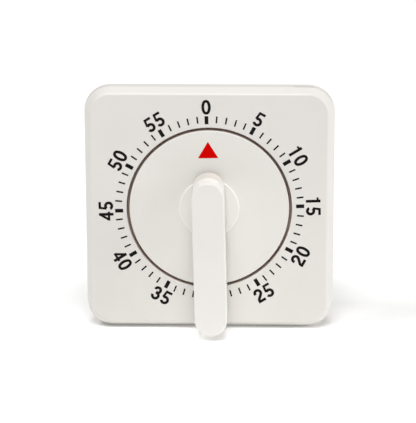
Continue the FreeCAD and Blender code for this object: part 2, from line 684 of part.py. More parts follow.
def rear_shell():
    """Mould the rear shell: a rim, a tub that narrows to the back, screw wells and sound slots."""
    body = new_body("rear_shell", ("0", "0"))
    seam = Profile(body, "shell_seam", lift="seam_lift")
    case_outline(seam, "seam_inset")
    rim = Profile(body, "shell_rim", lift="rim_lift")
    rim.rounded_box("-case_width / 2", "case_width / 2", "-foot_trim", "case_width", "corner_round")
    back = Profile(body, "shell_back", lift="back_lift")
    back.rounded_box("-back_half_width", "back_half_width", "-foot_trim", "back_height", "corner_round")
    document.recompute()
    skin = body.newObject("PartDesign::AdditiveLoft", "shell_skin")
    skin.Profile = seam.sketch
    skin.Sections = [rim.sketch, back.sketch]
    skin.Ruled = True
    document.recompute()
    base = Profile(body, "shell_base", lift="seam_lift")
    base.polygon([
        ("-case_width", "-wall"),
        ("case_width", "-wall"),
        ("case_width", "0"),
        ("-case_width", "0"),
    ])
    base.pocket("seam_lift - back_lift")
    mouth = Profile(body, "shell_mouth", lift="seam_lift")
    case_outline(mouth, "rim_wall")
    mouth.pocket("seam_lift - rim_lift")
    front = Profile(body, "shell_inside_front", lift="rim_lift")
    case_outline(front, "rim_wall")
    inside = Profile(body, "shell_inside_back", lift="back_lift + wall")
    inner = "back_half_width - wall"
    inside.rounded_box(f"-({inner})", inner, "wall", "back_height - wall", "corner_round - rim_wall")
    document.recompute()
    room = body.newObject("PartDesign::SubtractiveLoft", "shell_room")
    room.Profile = front.sketch
    room.Sections = [inside.sketch]
    room.Ruled = True
    document.recompute()
    bosses = Profile(body, "shell_bosses", lift="back_lift + wall / 2")
    for place in CASE_SCREWS:
        bosses.circle("case_boss", place)
    bosses.pad("tongue_lift - back_lift - wall / 2")
    bores = Profile(body, "shell_bores", lift="tongue_lift")
    for place in CASE_SCREWS:
        bores.circle("case_screw + well_play", place)
    bores.pocket("tongue_lift - case_screw_seat")
    wells = Profile(body, "shell_screw_wells", lift="case_screw_seat")
    for place in CASE_SCREWS:
        wells.circle("case_head + well_play", place)
    wells.pocket("case_screw_seat - back_lift")
    seat = Profile(body, "shell_magnet_boss", lift="back_lift + wall / 2")
    seat.circle("magnet_radius + magnet_play + wall / 2", ("0", "magnet_height"))
    seat.pad("magnet_rise")
    recess = Profile(body, "shell_magnet_recess", lift="back_lift + magnet_rise")
    recess.circle("magnet_radius + magnet_play", ("0", "magnet_height"))
    recess.pocket("magnet_rise")
    slots = Profile(body, "shell_slots", lift="back_lift + wall")
    for index in range(int(size("slot_count"))):
        sound_slot(slots, f"360 / slot_count * {index} + 180 / slot_count")
    slots.pocket("wall")
    notch = Profile(body, "shell_notch", lift="seam_lift")
    notch.polygon([
        ("notch_across - notch_length / 2", "case_width - notch_depth"),
        ("notch_across + notch_length / 2", "case_width - notch_depth"),
        ("notch_across + notch_length / 2", "case_width + notch_depth"),
        ("notch_across - notch_length / 2", "case_width + notch_depth"),
    ])
    notch.pocket("notch_width")
    return body


def sound_slot(profile, angle):
    """Draw one long slot of the ring round the magnet, square to the radius."""
    corners = []
    for along, out in ((-1, -1), (1, -1), (1, 1), (-1, 1)):
        radius = f"(slot_ring + {out} * slot_width / 2)"
        reach = f"({along} * slot_length / 2)"
        corners.append((
            f"{radius} * sin({angle}) + {reach} * cos({angle})",
            f"magnet_height + {radius} * cos({angle}) - {reach} * sin({angle})",
        ))
    profile.polygon(corners)


def magnet():
    """Make the disc magnet that sits flush in the back."""
    place = ("0", "magnet_height")
    disc = rod("magnet", "magnet_radius", "back_lift", "back_lift + magnet_rise", place)
    disc.Label = "magnet"
    return disc


def dial_disc():
    """Mould the dial: a thin face with a skirt round its edge and a boss behind its middle."""
    body = new_body("dial_disc", MAIN, "pointer_turn")
    profile = Profile(body, "dial_section", plane=TURN_PLANE)
    profile.polygon([
        ("stem_radius", "-face_lift"),
        ("dial_radius - dial_round", "-face_lift"),
        ("dial_radius", "-face_lift + dial_round"),
        ("dial_radius", "-dial_skirt_lift"),
        ("dial_radius - dial_skirt", "-dial_skirt_lift"),
        ("dial_radius - dial_skirt", "-face_lift + dial_skin"),
        ("dial_boss", "-face_lift + dial_skin"),
        ("dial_boss", "-dial_boss_lift"),
        ("stem_radius", "-dial_boss_lift"),
    ])
    profile.turn()
    return body


def lever_knob():
    """Mould the knob: a low hub, a long lever grip in two widths, and a stem with a flatted bore."""
    body = new_body("lever_knob", MAIN, "pointer_turn")
    stem = Profile(body, "knob_stem", lift="stem_lift")
    stem.circle("stem_radius")
    stem.pad("face_lift - stem_lift")
    hub = Profile(body, "knob_hub", lift="face_lift")
    hub.circle("hub_radius")
    hub.pad("hub_rise")
    neck = Profile(body, "knob_neck", lift="face_lift + hub_rise")
    neck.circle("lever_half_width - lever_step")
    neck.pad("lever_under - face_lift - hub_rise")
    lower = Profile(body, "knob_lower", lift="lever_under")
    rough = (size("lever_half_width"), size("lever_top"), -size("lever_bottom"))
    set_in = [f"{end} - lever_step" for end in ("lever_half_width", "lever_top", "lever_bottom")]
    lower.stadium(set_in[0], set_in[1], f"-({set_in[2]})", rough)
    lower.pad("lever_waist - lever_under")
    upper = Profile(body, "knob_upper", lift="lever_waist")
    upper.stadium("lever_half_width", "lever_top", "-lever_bottom", rough)
    rounded(body, upper.pad("lever_front - lever_waist"), size("lever_front"), "lever_round")
    bore = Profile(body, "knob_bore", lift="shaft_front + bore_play")
    bore.flatted_circle("shaft_radius + bore_play", "shaft_flat + bore_play")
    bore.pocket("shaft_front + bore_play - stem_lift")
    return body


def main_arbor():
    """Turn the main arbor, with the flat that carries the knob."""
    body = new_body("main_arbor", MAIN, "pointer_turn")
    turned(body, "main_shaft", [
        ("main_pivot", "plate_back - pivot_out", "plate_gap_back + shoulder_play"),
        ("cam_seat", "plate_gap_back + shoulder_play", "seat_back"),
        ("wheel_seat", "seat_back", "collar_back"),
        ("collar_radius", "collar_back", "collar_front"),
        ("shaft_radius", "collar_front", "shaft_front"),
    ])
    flat = Profile(body, "main_flat", lift="shaft_front")
    outside = "(shaft_radius + cut_over)"
    flat.polygon([
        ("shaft_flat", f"-{outside}"),
        (outside, f"-{outside}"),
        (outside, outside),
        ("shaft_flat", outside),
    ])
    flat.pocket("shaft_front - flat_back")
    return body


def ratchet_wheel():
    """Cut the ratchet wheel that drives the main wheel through the click."""
    body = new_body("ratchet_wheel", MAIN, "pointer_turn")
    blank = Profile(body, "ratchet_blank", lift="ratchet_lift")
    blank.circle("ratchet_radius")
    blank.circle("wheel_seat")
    blank.pad("ratchet_plate")
    gap = Profile(body, "ratchet_gap", lift="ratchet_lift + ratchet_plate")
    gap.polygon([
        polar("ratchet_root", "0"),
        polar("ratchet_radius + tip_over", "0"),
        polar("ratchet_radius + tip_over", "ratchet_land - 360 / ratchet_teeth"),
    ])
    repeated(body, gap.pocket("ratchet_plate"), "ratchet_teeth")
    return body


def alarm_cam():
    """Cut the alarm cam, with the notch that lets the hammer's tail fall at zero."""
    body = new_body("alarm_cam", MAIN, f"{TAIL_TURN} + hammer_drop - 90")
    blank = Profile(body, "cam_blank", lift="cam_lift")
    blank.circle("cam_radius")
    blank.circle("cam_seat")
    blank.pad("wheel_plate")
    fallen = f"{HAMMER_REACH} * sin(90 - {TAIL_TOUCH} - hammer_drop)"
    notch = Profile(body, "cam_notch", lift="cam_lift + wheel_plate")
    floor = f"{fallen} - cam_notch_play"
    notch.polygon([
        ("-cam_notch_side", floor),
        ("-cam_notch_side", "cam_radius + cut_over"),
        ("cam_radius + cut_over", "cam_radius + cut_over"),
        ("cam_radius + cut_over", floor),
    ])
    notch.pocket("wheel_plate")
    return body


def main_wheel():
    """Cut the main wheel, loose on the arbor, with the rivet hole of its click."""
    body = wheel("main_wheel", MAIN, MAIN_TURN, "module_one", "main_teeth", "main_wheel_lift",
                 "wheel_seat + running_play")
    hole = Profile(body, "main_wheel_rivet_hole", lift="main_wheel_lift + wheel_plate")
    hole.circle("click_pin", polar("click_reach", f"90 - click_way + {MAIN_TURN}"))
    hole.pocket("wheel_plate")
    return body


def click():
    """Cut the click, a hooked pawl on the face of the main wheel."""
    body = new_body("click", CLICK)
    boss = Profile(body, "click_boss_disc", lift="main_wheel_lift + wheel_plate")
    boss.circle("click_boss")
    boss.pad("ratchet_plate")
    pawl = Profile(body, "click_pawl", lift="main_wheel_lift + wheel_plate")
    pawl.polygon(outline_points("pawl"))
    pawl.pad("ratchet_plate")
    hole = Profile(body, "click_hole", lift="main_wheel_lift + wheel_plate + ratchet_plate")
    hole.circle("click_pin")
    hole.pocket("ratchet_plate")
    return body


def click_rivet():
    """Turn the rivet that holds the click."""
    body = new_body("click_rivet", CLICK)
    top = "main_wheel_lift + wheel_plate + ratchet_plate"
    turned(body, "rivet_section", [
        ("click_pin", "main_wheel_lift", top),
        ("rivet_head", top, f"{top} + rivet_rise"),
    ])
    return body


def click_spring():
    """Bend the flat wire spring that presses the click into the ratchet."""
    body = new_body("click_spring", MAIN)
    strip = Profile(body, "click_spring_strip", lift="main_wheel_lift + wheel_plate")
    strip.polygon(outline_points("wire"))
    strip.pad("click_strip")
    return body


def escape_wheel():
    """Cut the escape wheel's pointed teeth."""
    body = new_body("escape_wheel", ESCAPE)
    blank = Profile(body, "escape_blank", lift="escape_wheel_lift")
    blank.circle("escape_radius")
    blank.circle("escape_shaft")
    blank.pad("wheel_plate")
    gap = Profile(body, "escape_gap", lift="escape_wheel_lift + wheel_plate")
    gap.polygon([
        polar("escape_root", "escape_rake"),
        polar("escape_radius + tip_over", "0"),
        polar("escape_radius + tip_over", "360 / escape_teeth - escape_rake"),
    ])
    repeated(body, gap.pocket("wheel_plate"), "escape_teeth")
    return body


def plain_arbor(label, place, shaft, pivot, back_end="plate_back - pivot_out"):
    """Turn an arbor with no pinion."""
    body = new_body(label, place)
    turned(body, f"{label}_shaft", [
        (pivot, back_end, "plate_gap_back + shoulder_play"),
        (shaft, "plate_gap_back + shoulder_play", "plate_gap_front - shoulder_play"),
        (pivot, "plate_gap_front - shoulder_play", "plate_front + pivot_out"),
    ])
    return body


def pallet_fork():
    """Cut the anchor whose two pallets let the escape wheel past tooth by tooth."""
    body = new_body("pallet_fork", PALLET, "pallet_way - 90")
    anchor = Profile(body, "anchor_outline", lift="escape_wheel_lift - anchor_over")
    half = outline_points("anchor")
    anchor.polygon(half + [(f"-{across}", up) for across, up in reversed(half)])
    anchor.pad("wheel_plate + 2 * anchor_over")
    hole = Profile(body, "anchor_hole", lift="escape_wheel_lift + wheel_plate + anchor_over")
    hole.circle("escape_shaft")
    hole.pocket("wheel_plate + 2 * anchor_over")
    return body


def hammer_tail():
    """Cut the hammer's tail, a thin blade that rides on the alarm cam."""
    body = new_body("hammer_tail", HAMMER, TAIL_TURN)
    boss = Profile(body, "tail_boss", lift="tail_lift")
    boss.circle("hammer_boss")
    boss.pad("tail_plate")
    blade = Profile(body, "tail_blade", lift="tail_lift")
    blade.polygon([
        ("0", "0"),
        ("0", f"{TAIL_LENGTH} + tail_over"),
        ("tail_tip", f"{TAIL_LENGTH} + tail_over"),
        ("tail_root", "tail_tip"),
        ("tail_root", "0"),
    ])
    blade.pad("tail_plate")
    hole = Profile(body, "tail_hole", lift="tail_lift + tail_plate")
    hole.circle("hammer_shaft")
    hole.pocket("tail_plate")
    return body


def hammer_arm():
    """Cut the hammer's arm, behind the back plate."""
    body = new_body("hammer_arm", HAMMER)
    boss = Profile(body, "arm_boss", lift="arm_back")
    boss.circle("hammer_boss")
    boss.pad("arm_front - arm_back")
    bar = Profile(body, "arm_bar", lift="arm_back")
    bar.polygon([
        ("-arm_half_width", "0"),
        ("-arm_half_width", "-arm_length"),
        ("arm_half_width", "-arm_length"),
        ("arm_half_width", "0"),
    ])
    bar.pad("arm_front - arm_back")
    hole = Profile(body, "arm_hole", lift="arm_front")
    hole.circle("hammer_pivot")
    hole.pocket("arm_front - arm_back")
    rivet = Profile(body, "arm_rivet_hole", lift="arm_front")
    rivet.circle("head_rivet", ("0", "-arm_length"))
    rivet.pocket("arm_front - arm_back")
    return body


def hammer_head():
    """Turn the hammer's head, riveted through the end of its arm."""
    body = new_body("hammer_head", ("hammer_across", "axis_height + hammer_up - arm_length"))
    turned(body, "head_section", [
        ("head_radius", "head_back", "arm_back"),
        ("head_rivet", "arm_back", "arm_front"),
    ])
    return body


def hammer_spring():
    """Bend the leaf spring that drives the hammer's arm towards the bell."""
    body = new_body("hammer_spring", MAIN)
    leaf = Profile(body, "leaf_outline", lift="arm_back")
    leaf.polygon(outline_points("leaf"))
    leaf.pad("plate_back - arm_back")
    return body


def plate(label, back, front, outline, holes):
    """Stamp a brass plate from its (half width, down, up) outline and its (radius, place) holes."""
    half, down, up = outline
    body = new_body(label, ("0", "0"))
    blank = Profile(body, f"{label}_blank", lift=back)
    blank.rounded_box(f"-{half}", half, f"axis_height - {down}", f"axis_height + {up}", "plate_round")
    blank.pad(f"({front}) - ({back})")
    drilled = Profile(body, f"{label}_holes", lift=front)
    for radius, place in holes:
        drilled.circle(radius, place)
    drilled.pocket(f"({front}) - ({back})")
    return body


def plates():
    """Stamp the two plates that hold the train between them."""
    pivots = [
        ("second_pivot + running_play", SECOND),
        ("fine_pivot + running_play", THIRD),
        ("fine_pivot + running_play", ESCAPE),
        ("fine_pivot + running_play", PALLET),
        ("hammer_pivot + running_play", HAMMER),
    ]
    front_holes = [("bush_body", MAIN), ("spring_post_radius", SPRING_POST)]
    front_holes += [("small_screw + well_play", place) for place in FIXINGS]
    front_holes += [("tenon_radius", place) for place in PILLARS]
    rear_holes = [("main_pivot + running_play", MAIN), ("small_screw", BELL)]
    rear_holes += [("small_screw", place) for place in PILLARS]
    front = ("plate_half_width", "plate_down", "plate_up")
    rear = ("rear_half_width", "rear_down", "rear_up")
    return [
        plate("front_plate", "plate_gap_front", "plate_front", front, front_holes + pivots),
        plate("back_plate", "plate_back", "plate_gap_back", rear, rear_holes + pivots),
    ]


def plate_pillars():
    """Turn the four pillars, riveted to the front plate and tapped for screws behind."""
    made = []
    for index, place in enumerate(PILLARS, start=1):
        bar = rod(f"pillar_bar_{index}", "pillar_radius", "plate_gap_back", "plate_gap_front", place)
        tenon = rod(f"pillar_tenon_{index}", "tenon_radius", "plate_gap_front", "plate_front", place)
        depth = "plate_gap_back + pillar_thread"
        thread = rod(f"pillar_thread_{index}", "small_screw", "plate_gap_back", depth, place)
        drilled = document.addObject("Part::Cut", f"pillar_{index}")
        drilled.Base = joined(f"pillar_solid_{index}", [bar, tenon])
        drilled.Tool = thread
        made.append(drilled)
    return group("plate_pillars", made)


def arbor_bush():
    """Turn the flanged bush that the main arbor runs in."""
    body = new_body("arbor_bush", MAIN)
    turned(body, "bush_section", [
        ("bush_body", "bush_back", "plate_front"),
        ("bush_flange", "plate_front", "bush_front"),
    ])
    bore = Profile(body, "bush_bore", lift="bush_front")
    bore.circle("shaft_radius + running_play")
    bore.pocket("bush_front - bush_back")
    return body


def mainspring():
    """Coil the mainspring from half circles, each half a step wider, and hook it round its post."""
    strip = size("spring_strip")
    first = size("spring_inner") + strip / 2
    pitch = size("spring_pitch")
    hook = size("spring_post_radius") + size("spring_play")
    half_turns = int(2 * size("spring_turns"))
    last = first + (half_turns - 1) * pitch / 2 + pitch / 4
    sides = []
    for offset in (-strip / 2, strip / 2):
        edges = []
        for index in range(half_turns):
            odd = index % 2
            middle = pitch / 4 if odd else -pitch / 4
            edges.append(half_circle(middle, first + index * pitch / 2 + offset, odd * math.pi, math.pi))
        edges.append(half_circle(last + strip / 2 + hook, hook + strip / 2 - offset, math.pi, -math.pi))
        sides.append(edges)
    ends = [
        Part.makeLine(sides[0][index].Vertexes[corner].Point, sides[1][index].Vertexes[corner].Point)
        for index, corner in ((0, 0), (-1, 1))
    ]
    outline = Part.Wire(Part.sortEdges(sides[0] + sides[1] + ends)[0])
    band = Part.Face(outline).extrude(Vector(0, size("spring_front") - size("spring_back"), 0))
    spring = document.addObject("Part::Feature", "mainspring")
    spring.Label = "mainspring"
    spring.Shape = band
    spring.Placement = Placement(Vector(0, -size("spring_front"), size("axis_height")), Rotation())
    return spring


def half_circle(middle, radius, start, sweep):
    """Draw a half circle about a point on the X axis, seen from the front."""
    points = [
        Vector(middle + radius * math.cos(start + turn), 0, radius * math.sin(start + turn))
        for turn in (0, sweep / 2, sweep)
    ]
    return Part.Arc(*points).toShape()


def bell():
    """Draw the bell: a round-shouldered dish with its mouth towards the movement."""
    body = new_body("bell", BELL)
    profile = Profile(body, "bell_section", plane=TURN_PLANE)
    profile.polygon([
        ("bell_radius", "-bell_rim"),
        ("bell_radius - bell_draft", "-bell_crown"),
        ("small_screw", "-bell_crown"),
        ("small_screw", "-bell_crown - bell_wall"),
        ("bell_radius - bell_draft - bell_wall", "-bell_crown - bell_wall"),
        ("bell_radius - bell_wall", "-bell_rim"),
    ])
    dish = rounded(body, profile.turn(), size("bell_crown"), "bell_round", size("bell_radius"))
    inner_crown = size("bell_crown") + size("bell_wall")
    rounded(body, dish, inner_crown, "bell_round - bell_wall", size("bell_radius"))
    return body


def bell_post():
    """Turn the post that carries the bell, riveted into the back plate."""
    body = new_body("bell_post", BELL)
    turned(body, "post_section", [
        ("bell_post_radius", "bell_crown + bell_wall", "plate_back"),
        ("small_screw", "plate_back", "plate_gap_back"),
    ])
    thread = Profile(body, "post_thread", lift="bell_crown + bell_wall + bell_thread")
    thread.circle("small_screw")
    thread.pocket("bell_thread")
    return body


def spring_post():
    """Turn the post that holds the mainspring's outer end."""
    body = new_body("spring_post", SPRING_POST)
    turned(body, "spring_post_section", [("spring_post_radius", "spring_back", "plate_front")])
    return body


sub_parts = [
    front_cover(),
    rear_shell(),
    magnet(),
    screws("case_screws", CASE_SCREWS, "case_head", "case_screw", "case_screw_seat - case_head_rise",
           "case_screw_seat", "case_screw_tip"),
    *plates(),
    plate_pillars(),
    screws("plate_screws", PILLARS, "small_head", "small_screw", "plate_back - small_head_rise",
           "plate_back", "plate_gap_back + plate_screw_reach"),
    screws("movement_screws", FIXINGS, "small_head", "small_screw", "plate_gap_front - small_head_rise",
           "plate_gap_front", "plate_front + fixing_reach"),
    arbor_bush(),
    mainspring(),
    spring_post(),
    bell(),
    bell_post(),
    screws("bell_screw", [BELL], "small_head", "small_screw", "bell_crown - small_head_rise",
           "bell_crown", "bell_crown + bell_wall + bell_screw_reach"),
    hammer_spring(),
    dial_disc(),
    lever_knob(),
    main_arbor(),
    ratchet_wheel(),
    alarm_cam(),
    main_wheel(),
    click(),
    click_rivet(),
    click_spring(),
    pinion_arbor("second_arbor", SECOND, "second_way + 90", "module_one", "main_wheel_lift",
                 "second_shaft", "second_pivot"),
    wheel("second_wheel", SECOND, SECOND_TURN, "module_two", "second_teeth", "second_wheel_lift",
          "second_shaft"),
    pinion_arbor("third_arbor", THIRD, "third_way + 90", "module_two", "second_wheel_lift",
                 "third_shaft", "fine_pivot"),
    wheel("third_wheel", THIRD, THIRD_TURN, "module_two", "third_teeth", "third_wheel_lift",
          "third_shaft"),
    pinion_arbor("escape_arbor", ESCAPE, "escape_way + 90", "module_two", "third_wheel_lift",
                 "escape_shaft", "fine_pivot"),
    escape_wheel(),
    plain_arbor("pallet_arbor", PALLET, "escape_shaft", "fine_pivot"),
    pallet_fork(),
    plain_arbor("hammer_arbor", HAMMER, "hammer_shaft", "hammer_pivot", "hammer_end"),
    hammer_tail(),
    hammer_arm(),
    hammer_head(),
]
document.recompute()

for item in document.Objects:
    if "Invalid" in item.State or "Error" in item.State:
        raise RuntimeError(f"{item.Label} did not compute: {item.State}")
for part in sub_parts:
    if part.Shape.isNull() or not part.Shape.isValid():
        raise RuntimeError(f"{part.Label} has no valid shape")

os.makedirs("parts", exist_ok=True)
for part in sub_parts:
    part.Shape.exportStep(f"parts/{part.Label}.step")
    box = part.Shape.BoundBox
    print(f"{part.Label:16s} {len(part.Shape.Solids)} solids, {part.Shape.Volume:9.1f} cubic millimetres, "
          f"{box.XLength:5.1f} wide, {box.YLength:5.1f} deep, {box.ZLength:5.1f} high")
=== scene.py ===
"""Looks of the square wind-up timer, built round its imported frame.

The timer's pieces are shaped on a bench, in millimetres: X runs to the viewer's right, Y runs up the
front face from the base, and Z is the lift, how far a face stands in front of the middle plane of
the case. Bench.stand then turns each piece upright, in metres, where the frame has it.
"""

from __future__ import annotations

import logging
import math
from contextlib import contextmanager
from dataclasses import dataclass, replace
from enum import Enum
from typing import Callable, Iterator

import bmesh
import bpy
from mathutils import Matrix, Vector

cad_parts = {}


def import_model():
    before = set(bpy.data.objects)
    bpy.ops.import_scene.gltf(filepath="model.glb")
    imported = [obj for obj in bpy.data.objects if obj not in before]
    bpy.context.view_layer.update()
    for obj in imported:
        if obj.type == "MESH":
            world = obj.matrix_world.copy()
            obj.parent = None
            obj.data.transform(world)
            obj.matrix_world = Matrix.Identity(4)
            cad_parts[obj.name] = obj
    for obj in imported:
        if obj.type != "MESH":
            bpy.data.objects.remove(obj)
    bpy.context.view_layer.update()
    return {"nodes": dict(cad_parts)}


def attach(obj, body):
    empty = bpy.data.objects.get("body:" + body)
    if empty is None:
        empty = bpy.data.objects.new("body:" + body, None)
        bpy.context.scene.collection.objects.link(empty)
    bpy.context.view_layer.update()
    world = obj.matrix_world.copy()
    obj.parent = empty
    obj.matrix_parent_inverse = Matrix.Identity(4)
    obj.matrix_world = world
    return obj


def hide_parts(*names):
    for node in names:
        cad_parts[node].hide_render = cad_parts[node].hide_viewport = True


LOG = logging.getLogger("timer")

MM = 0.001
AXIS = (0.0, 40.5)  # where the dial's axis stands on the bench
FACE = 16.0  # lift of the cover's face and of the dial's
PHOTO_WIDTH = 416
PHOTO_HEIGHT = 423
SENSOR = 36.0


class Side(Enum):
    """Which way the tops of a numeral's figures point, as a turn in degrees."""

    OUTWARD = 0.0
    INWARD = 180.0


class Way(Enum):
    """What a tool does to a piece."""

    DIFFERENCE = "cut out"
    UNION = "fused on"


Edge = bmesh.types.BMEdge
Socket = bpy.types.NodeSocket


def linear(colour: str, alpha: float = 1.0) -> tuple[float, float, float, float]:
    """Turn an sRGB hex colour into linear values.

    Args:
        colour: the colour as "#RRGGBB".
        alpha: the fourth value.

    Returns:
        Red, green, blue and alpha.
    """
    parts = [int(colour[place : place + 2], 16) / 255 for place in (1, 3, 5)]
    red, green, blue = [p / 12.92 if p <= 0.04045 else ((p + 0.055) / 1.055) ** 2.4 for p in parts]
    return red, green, blue, alpha


class Graph:
    """The nodes of one new material, and the small groups of them that the finishes share."""

    def __init__(self, name: str) -> None:
        """Start a material.

        Args:
            name: its name.
        """
        self.material = bpy.data.materials.new(name)
        self.material.use_nodes = True
        self.tree = self.material.node_tree
        self.tree.nodes.clear()

    def add_node(
        self,
        kind: str,
        settings: dict[str, object] | None = None,
        inputs: dict[str | int, object] | None = None,
    ) -> bpy.types.Node:
        """Add one node.

        Args:
            kind: the node's type, without "ShaderNode".
            settings: properties of the node.
            inputs: values of its sockets, or the sockets that feed them.

        Returns:
            The new node.
        """
        node = self.tree.nodes.new(f"ShaderNode{kind}")
        for name, value in (settings or {}).items():
            setattr(node, name, value)
        for name, value in (inputs or {}).items():
            if isinstance(value, Socket):
                self.tree.links.new(value, node.inputs[name])
            else:
                node.inputs[name].default_value = value
        return node

    def noise(self, where: Socket, spacing: float, detail: float) -> Socket:
        """Add noise.

        Args:
            where: the place on the piece, in metres.
            spacing: how far apart its grains are.
            detail: how many finer layers it has.

        Returns:
            The noise.
        """
        inputs = {"Vector": where, "Scale": 1 / (spacing * MM), "Detail": detail}
        return self.add_node("TexNoise", inputs=inputs).outputs["Fac"]

    def ramp(self, amount: Socket, colours: tuple[str, str], reach: tuple[float, float]) -> Socket:
        """Blend from one colour to another.

        Args:
            amount: what drives the blend.
            colours: the first and the last colour as "#RRGGBB".
            reach: the amounts where the blend starts and ends.

        Returns:
            The blended colour.
        """
        ramp = self.add_node("ValToRGB", inputs={"Fac": amount})
        for stop, colour, place in zip(ramp.color_ramp.elements, colours, reach):
            stop.color, stop.position = linear(colour), place
        return ramp.outputs["Color"]

    def sway(self, amount: Socket, middle: float, reach: float) -> Socket:
        """Sway a value about its middle.

        Args:
            amount: what drives it.
            middle: the middle.
            reach: how far it sways to each side.

        Returns:
            The value.
        """
        inputs = {"Value": amount, "To Min": middle - reach, "To Max": middle + reach}
        return self.add_node("MapRange", inputs=inputs).outputs["Result"]

    def relief(self, height: Socket, strength: float, depth: float) -> Socket:
        """Turn the light as if the surface rose and fell.

        Args:
            height: what drives it.
            strength: how strongly the light turns.
            depth: how deep the surface goes.

        Returns:
            The turned normal.
        """
        inputs = {"Height": height, "Strength": strength, "Distance": depth * MM}
        return self.add_node("Bump", inputs=inputs).outputs["Normal"]

    def maths(self, operation: str, first: Socket, second: Socket | float) -> Socket:
        """Work a sum whose result stays between 0 and 1.

        Args:
            operation: what is done.
            first: the first value.
            second: the second value.

        Returns:
            The result.
        """
        settings = {"operation": operation, "use_clamp": True}
        return self.add_node("Math", settings, {0: first, 1: second}).outputs["Value"]

    def mix(self, amount: Socket, under: Socket, colour: str) -> Socket:
        """Lay a colour over another.

        Args:
            amount: how thickly it lies.
            under: the colour that it covers.
            colour: the colour as "#RRGGBB".

        Returns:
            The mixed colour.
        """
        mixed = self.add_node("Mix", {"data_type": "RGBA"}, {0: amount, 6: under, 7: linear(colour)})
        return mixed.outputs[2]

    def surface(self, inputs: dict[str, object]) -> bpy.types.Material:
        """Finish the material.

        Args:
            inputs: values of the shader's sockets, or the sockets that feed them.

        Returns:
            The material, ready to be put on a piece.
        """
        shader = self.add_node("BsdfPrincipled", inputs=inputs)
        self.add_node("OutputMaterial", inputs={"Surface": shader.outputs["BSDF"]})
        return self.material


@dataclass(frozen=True)
class Gap:
    """The narrow gap round the dial, as deep as its walls are seen, where shade is painted."""

    axis: tuple[float, float] = AXIS
    radius: float = 27.0
    lip: float = 15.8
    floor: float = 14.0


GAP = Gap()


@dataclass(frozen=True)
class Grained:
    """An opaque surface with a fine even grain and faint clouds in its colour."""

    name: str
    pale: str
    deep: str
    roughness: float = 0.42
    polish: float = 0.06  # how far the grain sways the roughness
    grain: float = 0.35  # spacing of the grain, drawn coarser than the real 0.1 to show
    cloud: float = 14.0  # spacing of the clouds
    depth: float = 0.010  # of the grain
    bite: float = 0.25  # how strongly the grain turns the light
    index: float = 1.53  # of refraction
    dust: str = ""  # colour of the shade painted on it, where it lies

    @staticmethod
    def reach(graph: Graph, where: Socket) -> Socket:
        """Measure how far a place stands from the dial's axis.

        Args:
            graph: the material's nodes.
            where: the place on the piece.

        Returns:
            The distance, in metres.
        """
        across, up = GAP.axis
        inputs = {"Vector": where, "Location": (-across * MM, 0, -up * MM), "Scale": (1, 0, 1)}
        flat = graph.add_node("Mapping", inputs=inputs).outputs["Vector"]
        return graph.add_node("VectorMath", {"operation": "LENGTH"}, {0: flat}).outputs["Value"]

    def dusted(self, graph: Graph, where: Socket, tone: Socket) -> Socket:
        """Paint rosy shade on what lies down in the narrow gap round the dial.

        Args:
            graph: the material's nodes.
            where: the place on the piece.
            tone: the clean colour.

        Returns:
            The tinted colour.
        """
        near = graph.maths("LESS_THAN", self.reach(graph, where), GAP.radius * MM)
        depth = graph.add_node("SeparateXYZ", inputs={"Vector": where}).outputs["Y"]
        inputs = {"Value": depth, "From Min": -GAP.lip * MM, "From Max": -GAP.floor * MM}
        deep = graph.add_node("MapRange", inputs=inputs).outputs["Result"]
        # painted shade: the gap's walls are tinted rosy-dark, more so the deeper they lie
        return graph.mix(graph.maths("MULTIPLY", near, deep), tone, self.dust)

    def material(self) -> bpy.types.Material:
        """Make the material.

        Returns:
            The material, ready to be put on a piece.
        """
        graph = Graph(self.name)
        where = graph.add_node("TexCoord").outputs["Object"]
        cloud = graph.noise(where, self.cloud, detail=3.0)
        tone = graph.ramp(cloud, (self.deep, self.pale), reach=(0.35, 0.65))
        # painted light: shade painted where a shade colour is set, and on the grip a painted highlight
        # too
        if self.dust:
            tone = self.dusted(graph, where, tone)
        grain = graph.noise(where, self.grain, detail=2.0)
        return graph.surface(
            {
                "Base Color": tone,
                "Roughness": graph.sway(grain, self.roughness, self.polish),
                "Normal": graph.relief(grain, self.bite, self.depth),
                "IOR": self.index,
            }
        )


@dataclass(frozen=True)
class MouldedAbs(Grained):
    """White ABS from a spark-eroded mould: an even satin skin that shows no sharp reflections."""


@dataclass(frozen=True)
class GroundFerrite(Grained):
    """Sintered ferrite, ground flat: dull and near-black, with an open grain."""


@dataclass(frozen=True)
class HandledAbs(MouldedAbs):
    """Glossy ABS with painted light: shade painted on what faces up behind the grip, and a highlight
    painted pale on the hub's rim.
    """

    rubbed: str = "#F7F5F2"  # colour of the highlight painted on the hub's rim
    ledge: float = 22.2  # shade is painted on what faces up behind this lift
    rim: float = 9.3  # the highlight is painted on the rim from this far off the dial's axis
    rim_lift: float = 16.6  # front of the rim

    def dusted(self, graph: Graph, where: Socket, tone: Socket) -> Socket:
        """Paint shade on the ledge that faces up behind the grip, and a highlight on the rim of the
        hub.

        Args:
            graph: the material's nodes.
            where: the place on the piece.
            tone: the clean colour.

        Returns:
            The tinted colour.
        """
        depth = graph.add_node("SeparateXYZ", inputs={"Vector": where}).outputs["Y"]
        normal = graph.add_node("TexCoord").outputs["Normal"]
        facing = graph.add_node("SeparateXYZ", inputs={"Vector": normal}).outputs["Z"]
        behind = graph.maths("GREATER_THAN", depth, -self.ledge * MM)
        # painted shade: darker on what faces up behind the ledge
        shaded_tone = graph.mix(graph.maths("MULTIPLY", behind, facing), tone, self.dust)
        wide = graph.maths("GREATER_THAN", self.reach(graph, where), self.rim * MM)
        low = graph.maths("GREATER_THAN", depth, -self.rim_lift * MM)
        # painted highlight: the hub's rim is painted pale
        return graph.mix(graph.maths("MULTIPLY", wide, low), shaded_tone, self.rubbed)


